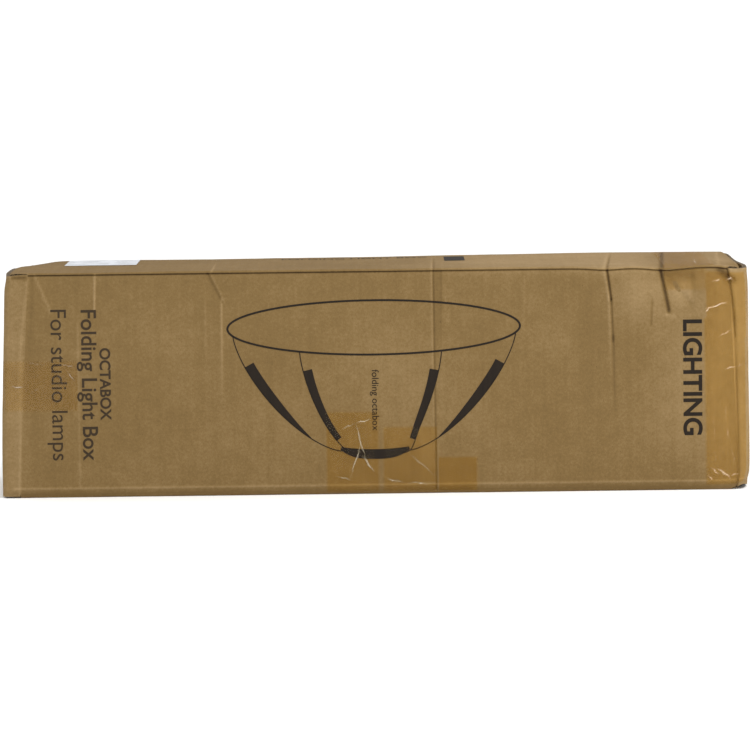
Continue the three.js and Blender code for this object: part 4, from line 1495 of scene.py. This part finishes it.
def add_manual():
    """A booklet: leaves, each a little short of the one below, with a spine along one side."""
    low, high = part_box("user_manual")
    pitch = (high.z - low.z) / LEAVES
    vertices, faces, blanks = [], [], []
    for leaf in range(LEAVES):
        ys = np.linspace(low.y, high.y - 0.35 * MM * leaf, 30)
        x, y = np.meshgrid(np.linspace(low.x, high.x, 40), ys, indexing="ij")
        curl = 1.2 * MM * smooth(x, high.x - 30 * MM, high.x) * (leaf / LEAVES) * smooth(y, 0, high.y)
        spine = 0.5 * pitch * leaf * (1 - smooth(y, low.y, low.y + 6 * MM))
        z = low.z + pitch * (leaf + 0.5) + curl - spine
        faces += quads(*x.shape, start=len(vertices) * x.size)
        vertices.append(np.stack([x, y, z], axis=2).reshape(-1, 3))
        blanks.append(np.stack([x - low.x, y - low.y, np.zeros(x.shape)], axis=2).reshape(-1, 3))
    piece = make_mesh("manual_leaves", np.concatenate(vertices), faces, {"blank": np.concatenate(blanks)})
    piece.data.materials.append(PAPER)
    thicken = piece.modifiers.new("thickness", "SOLIDIFY")
    thicken.thickness, thicken.offset = 0.2 * MM, 0
    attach(piece, "carton")
    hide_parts("user_manual")


def add_glue_tab():
    """The tab that joins the blank: a strip of board glued inside the top panel."""
    low, high = (np.array(corner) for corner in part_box("glue_tab"))
    xs, ys = marks(low[0], high[0], INNER_GRID), marks(low[1], high[1], 6 * MM)
    x, y = np.meshgrid(xs, ys, indexing="ij")
    slant = smooth(np.abs(x), high[0] - 14 * MM, high[0]) * 8 * MM
    y = np.where(y > 0.5 * (low[1] + high[1]), y - slant, y)
    outer = np.stack([x, y, np.full(x.shape, high[2])], axis=2)
    inner = outer - np.array([0, 0, BOARD])
    inner[..., 2] += 0.15 * MM * np.sin(x * 60)
    blank = np.stack([x, y, np.zeros(x.shape)], axis=2)
    inner_blank = blank + np.array([0, 0, 1.0])
    plain = np.zeros(x.shape)
    piece = board_shell("glue_tab_board", outer, inner, blank, inner_blank, plain, plain)
    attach(piece, "carton")
    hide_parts("glue_tab")


def add_contents():
    finish_hard_parts()
    add_canopy()
    add_rib_tips()
    add_strap("hub_end_strap")
    add_strap("rim_end_strap")
    for fold in FOLDS:
        add_folded_sheet(fold)
    add_manual()


# ---- stage, light and camera ----
CAMERA_DISTANCE = 4.0
CAMERA_LIFT = 5.2  # degrees above the horizon
CAMERA_ROLL = -0.72
VIEW_WIDTH = 0.7235  # metres across the picture, at the front of the carton
SENSOR = 36.0
AIM = Vector((0, -HALF_DEPTH, 115.6 * MM))
FLOOR_REACH = 8.0


def add_camera():
    camera = bpy.data.objects.new("camera", bpy.data.cameras.new("camera"))
    bpy.context.scene.collection.objects.link(camera)
    lift = math.radians(CAMERA_LIFT)
    back = Vector((0, -math.cos(lift), math.sin(lift)))
    camera.location = AIM + back * CAMERA_DISTANCE
    turn = (-back).to_track_quat("-Z", "Y").to_matrix().to_4x4()
    roll = Matrix.Rotation(math.radians(CAMERA_ROLL), 4, "Z")
    camera.rotation_euler = (turn @ roll).to_euler()
    camera.data.sensor_width = SENSOR
    camera.data.lens = SENSOR * CAMERA_DISTANCE / VIEW_WIDTH
    camera.data.clip_end = 50
    bpy.context.scene.camera = camera


def add_light(name, place, target, size, power, color):
    data = bpy.data.lights.new(name, "AREA")
    data.shape, data.size, data.energy, data.color = "DISK", size, power, color
    light = bpy.data.objects.new(name, data)
    light.location = place
    light.rotation_euler = (Vector(target) - Vector(place)).to_track_quat("-Z", "Y").to_euler()
    bpy.context.scene.collection.objects.link(light)


def pale_floor():
    shader = Shader("pale_floor")
    grain = shader.noise(shader.place(), 3, 2)
    stops = [(0.0, (0.93, 0.93, 0.93)), (1.0, (0.97, 0.97, 0.97))]
    shader.set(Base_Color=shader.ramp(grain, stops), Roughness=0.9)
    return shader.material


def add_stage():
    """A flat pale floor under a white sky."""
    reach = FLOOR_REACH
    corners = np.array([(-reach, -reach, 0), (reach, -reach, 0), (reach, reach, 0), (-reach, reach, 0)])
    floor = make_mesh("floor", corners, [[0, 1, 2, 3]])
    floor.data.materials.append(pale_floor())
    world = bpy.data.worlds.new("studio")
    bpy.context.scene.world = world
    world.use_nodes = True
    background = world.node_tree.nodes["Background"]
    background.inputs["Color"].default_value = (1, 1, 1, 1)
    background.inputs["Strength"].default_value = 1.1
    add_light("key", (1.5, -1.5, 2.3), (0.15, 0, 0.1), 1.2, 56, (1.0, 0.985, 0.95))
    add_light("fill", (-2.0, -2.6, 1.2), (0, 0, 0.1), 2.0, 4, (0.97, 0.985, 1.0))
    bpy.context.scene.view_settings.view_transform = "Standard"


def build():
    add_camera()
    add_stage()
    sleeve = add_sleeve()
    add_glue_tab()
    add_flaps()
    mesh = sleeve.data
    tree = BVHTree.FromPolygons([v.co for v in mesh.vertices], [p.vertices for p in mesh.polygons])
    add_drawing(tree)
    add_words(tree)
    add_tape()
    add_label()
    add_contents()


build()
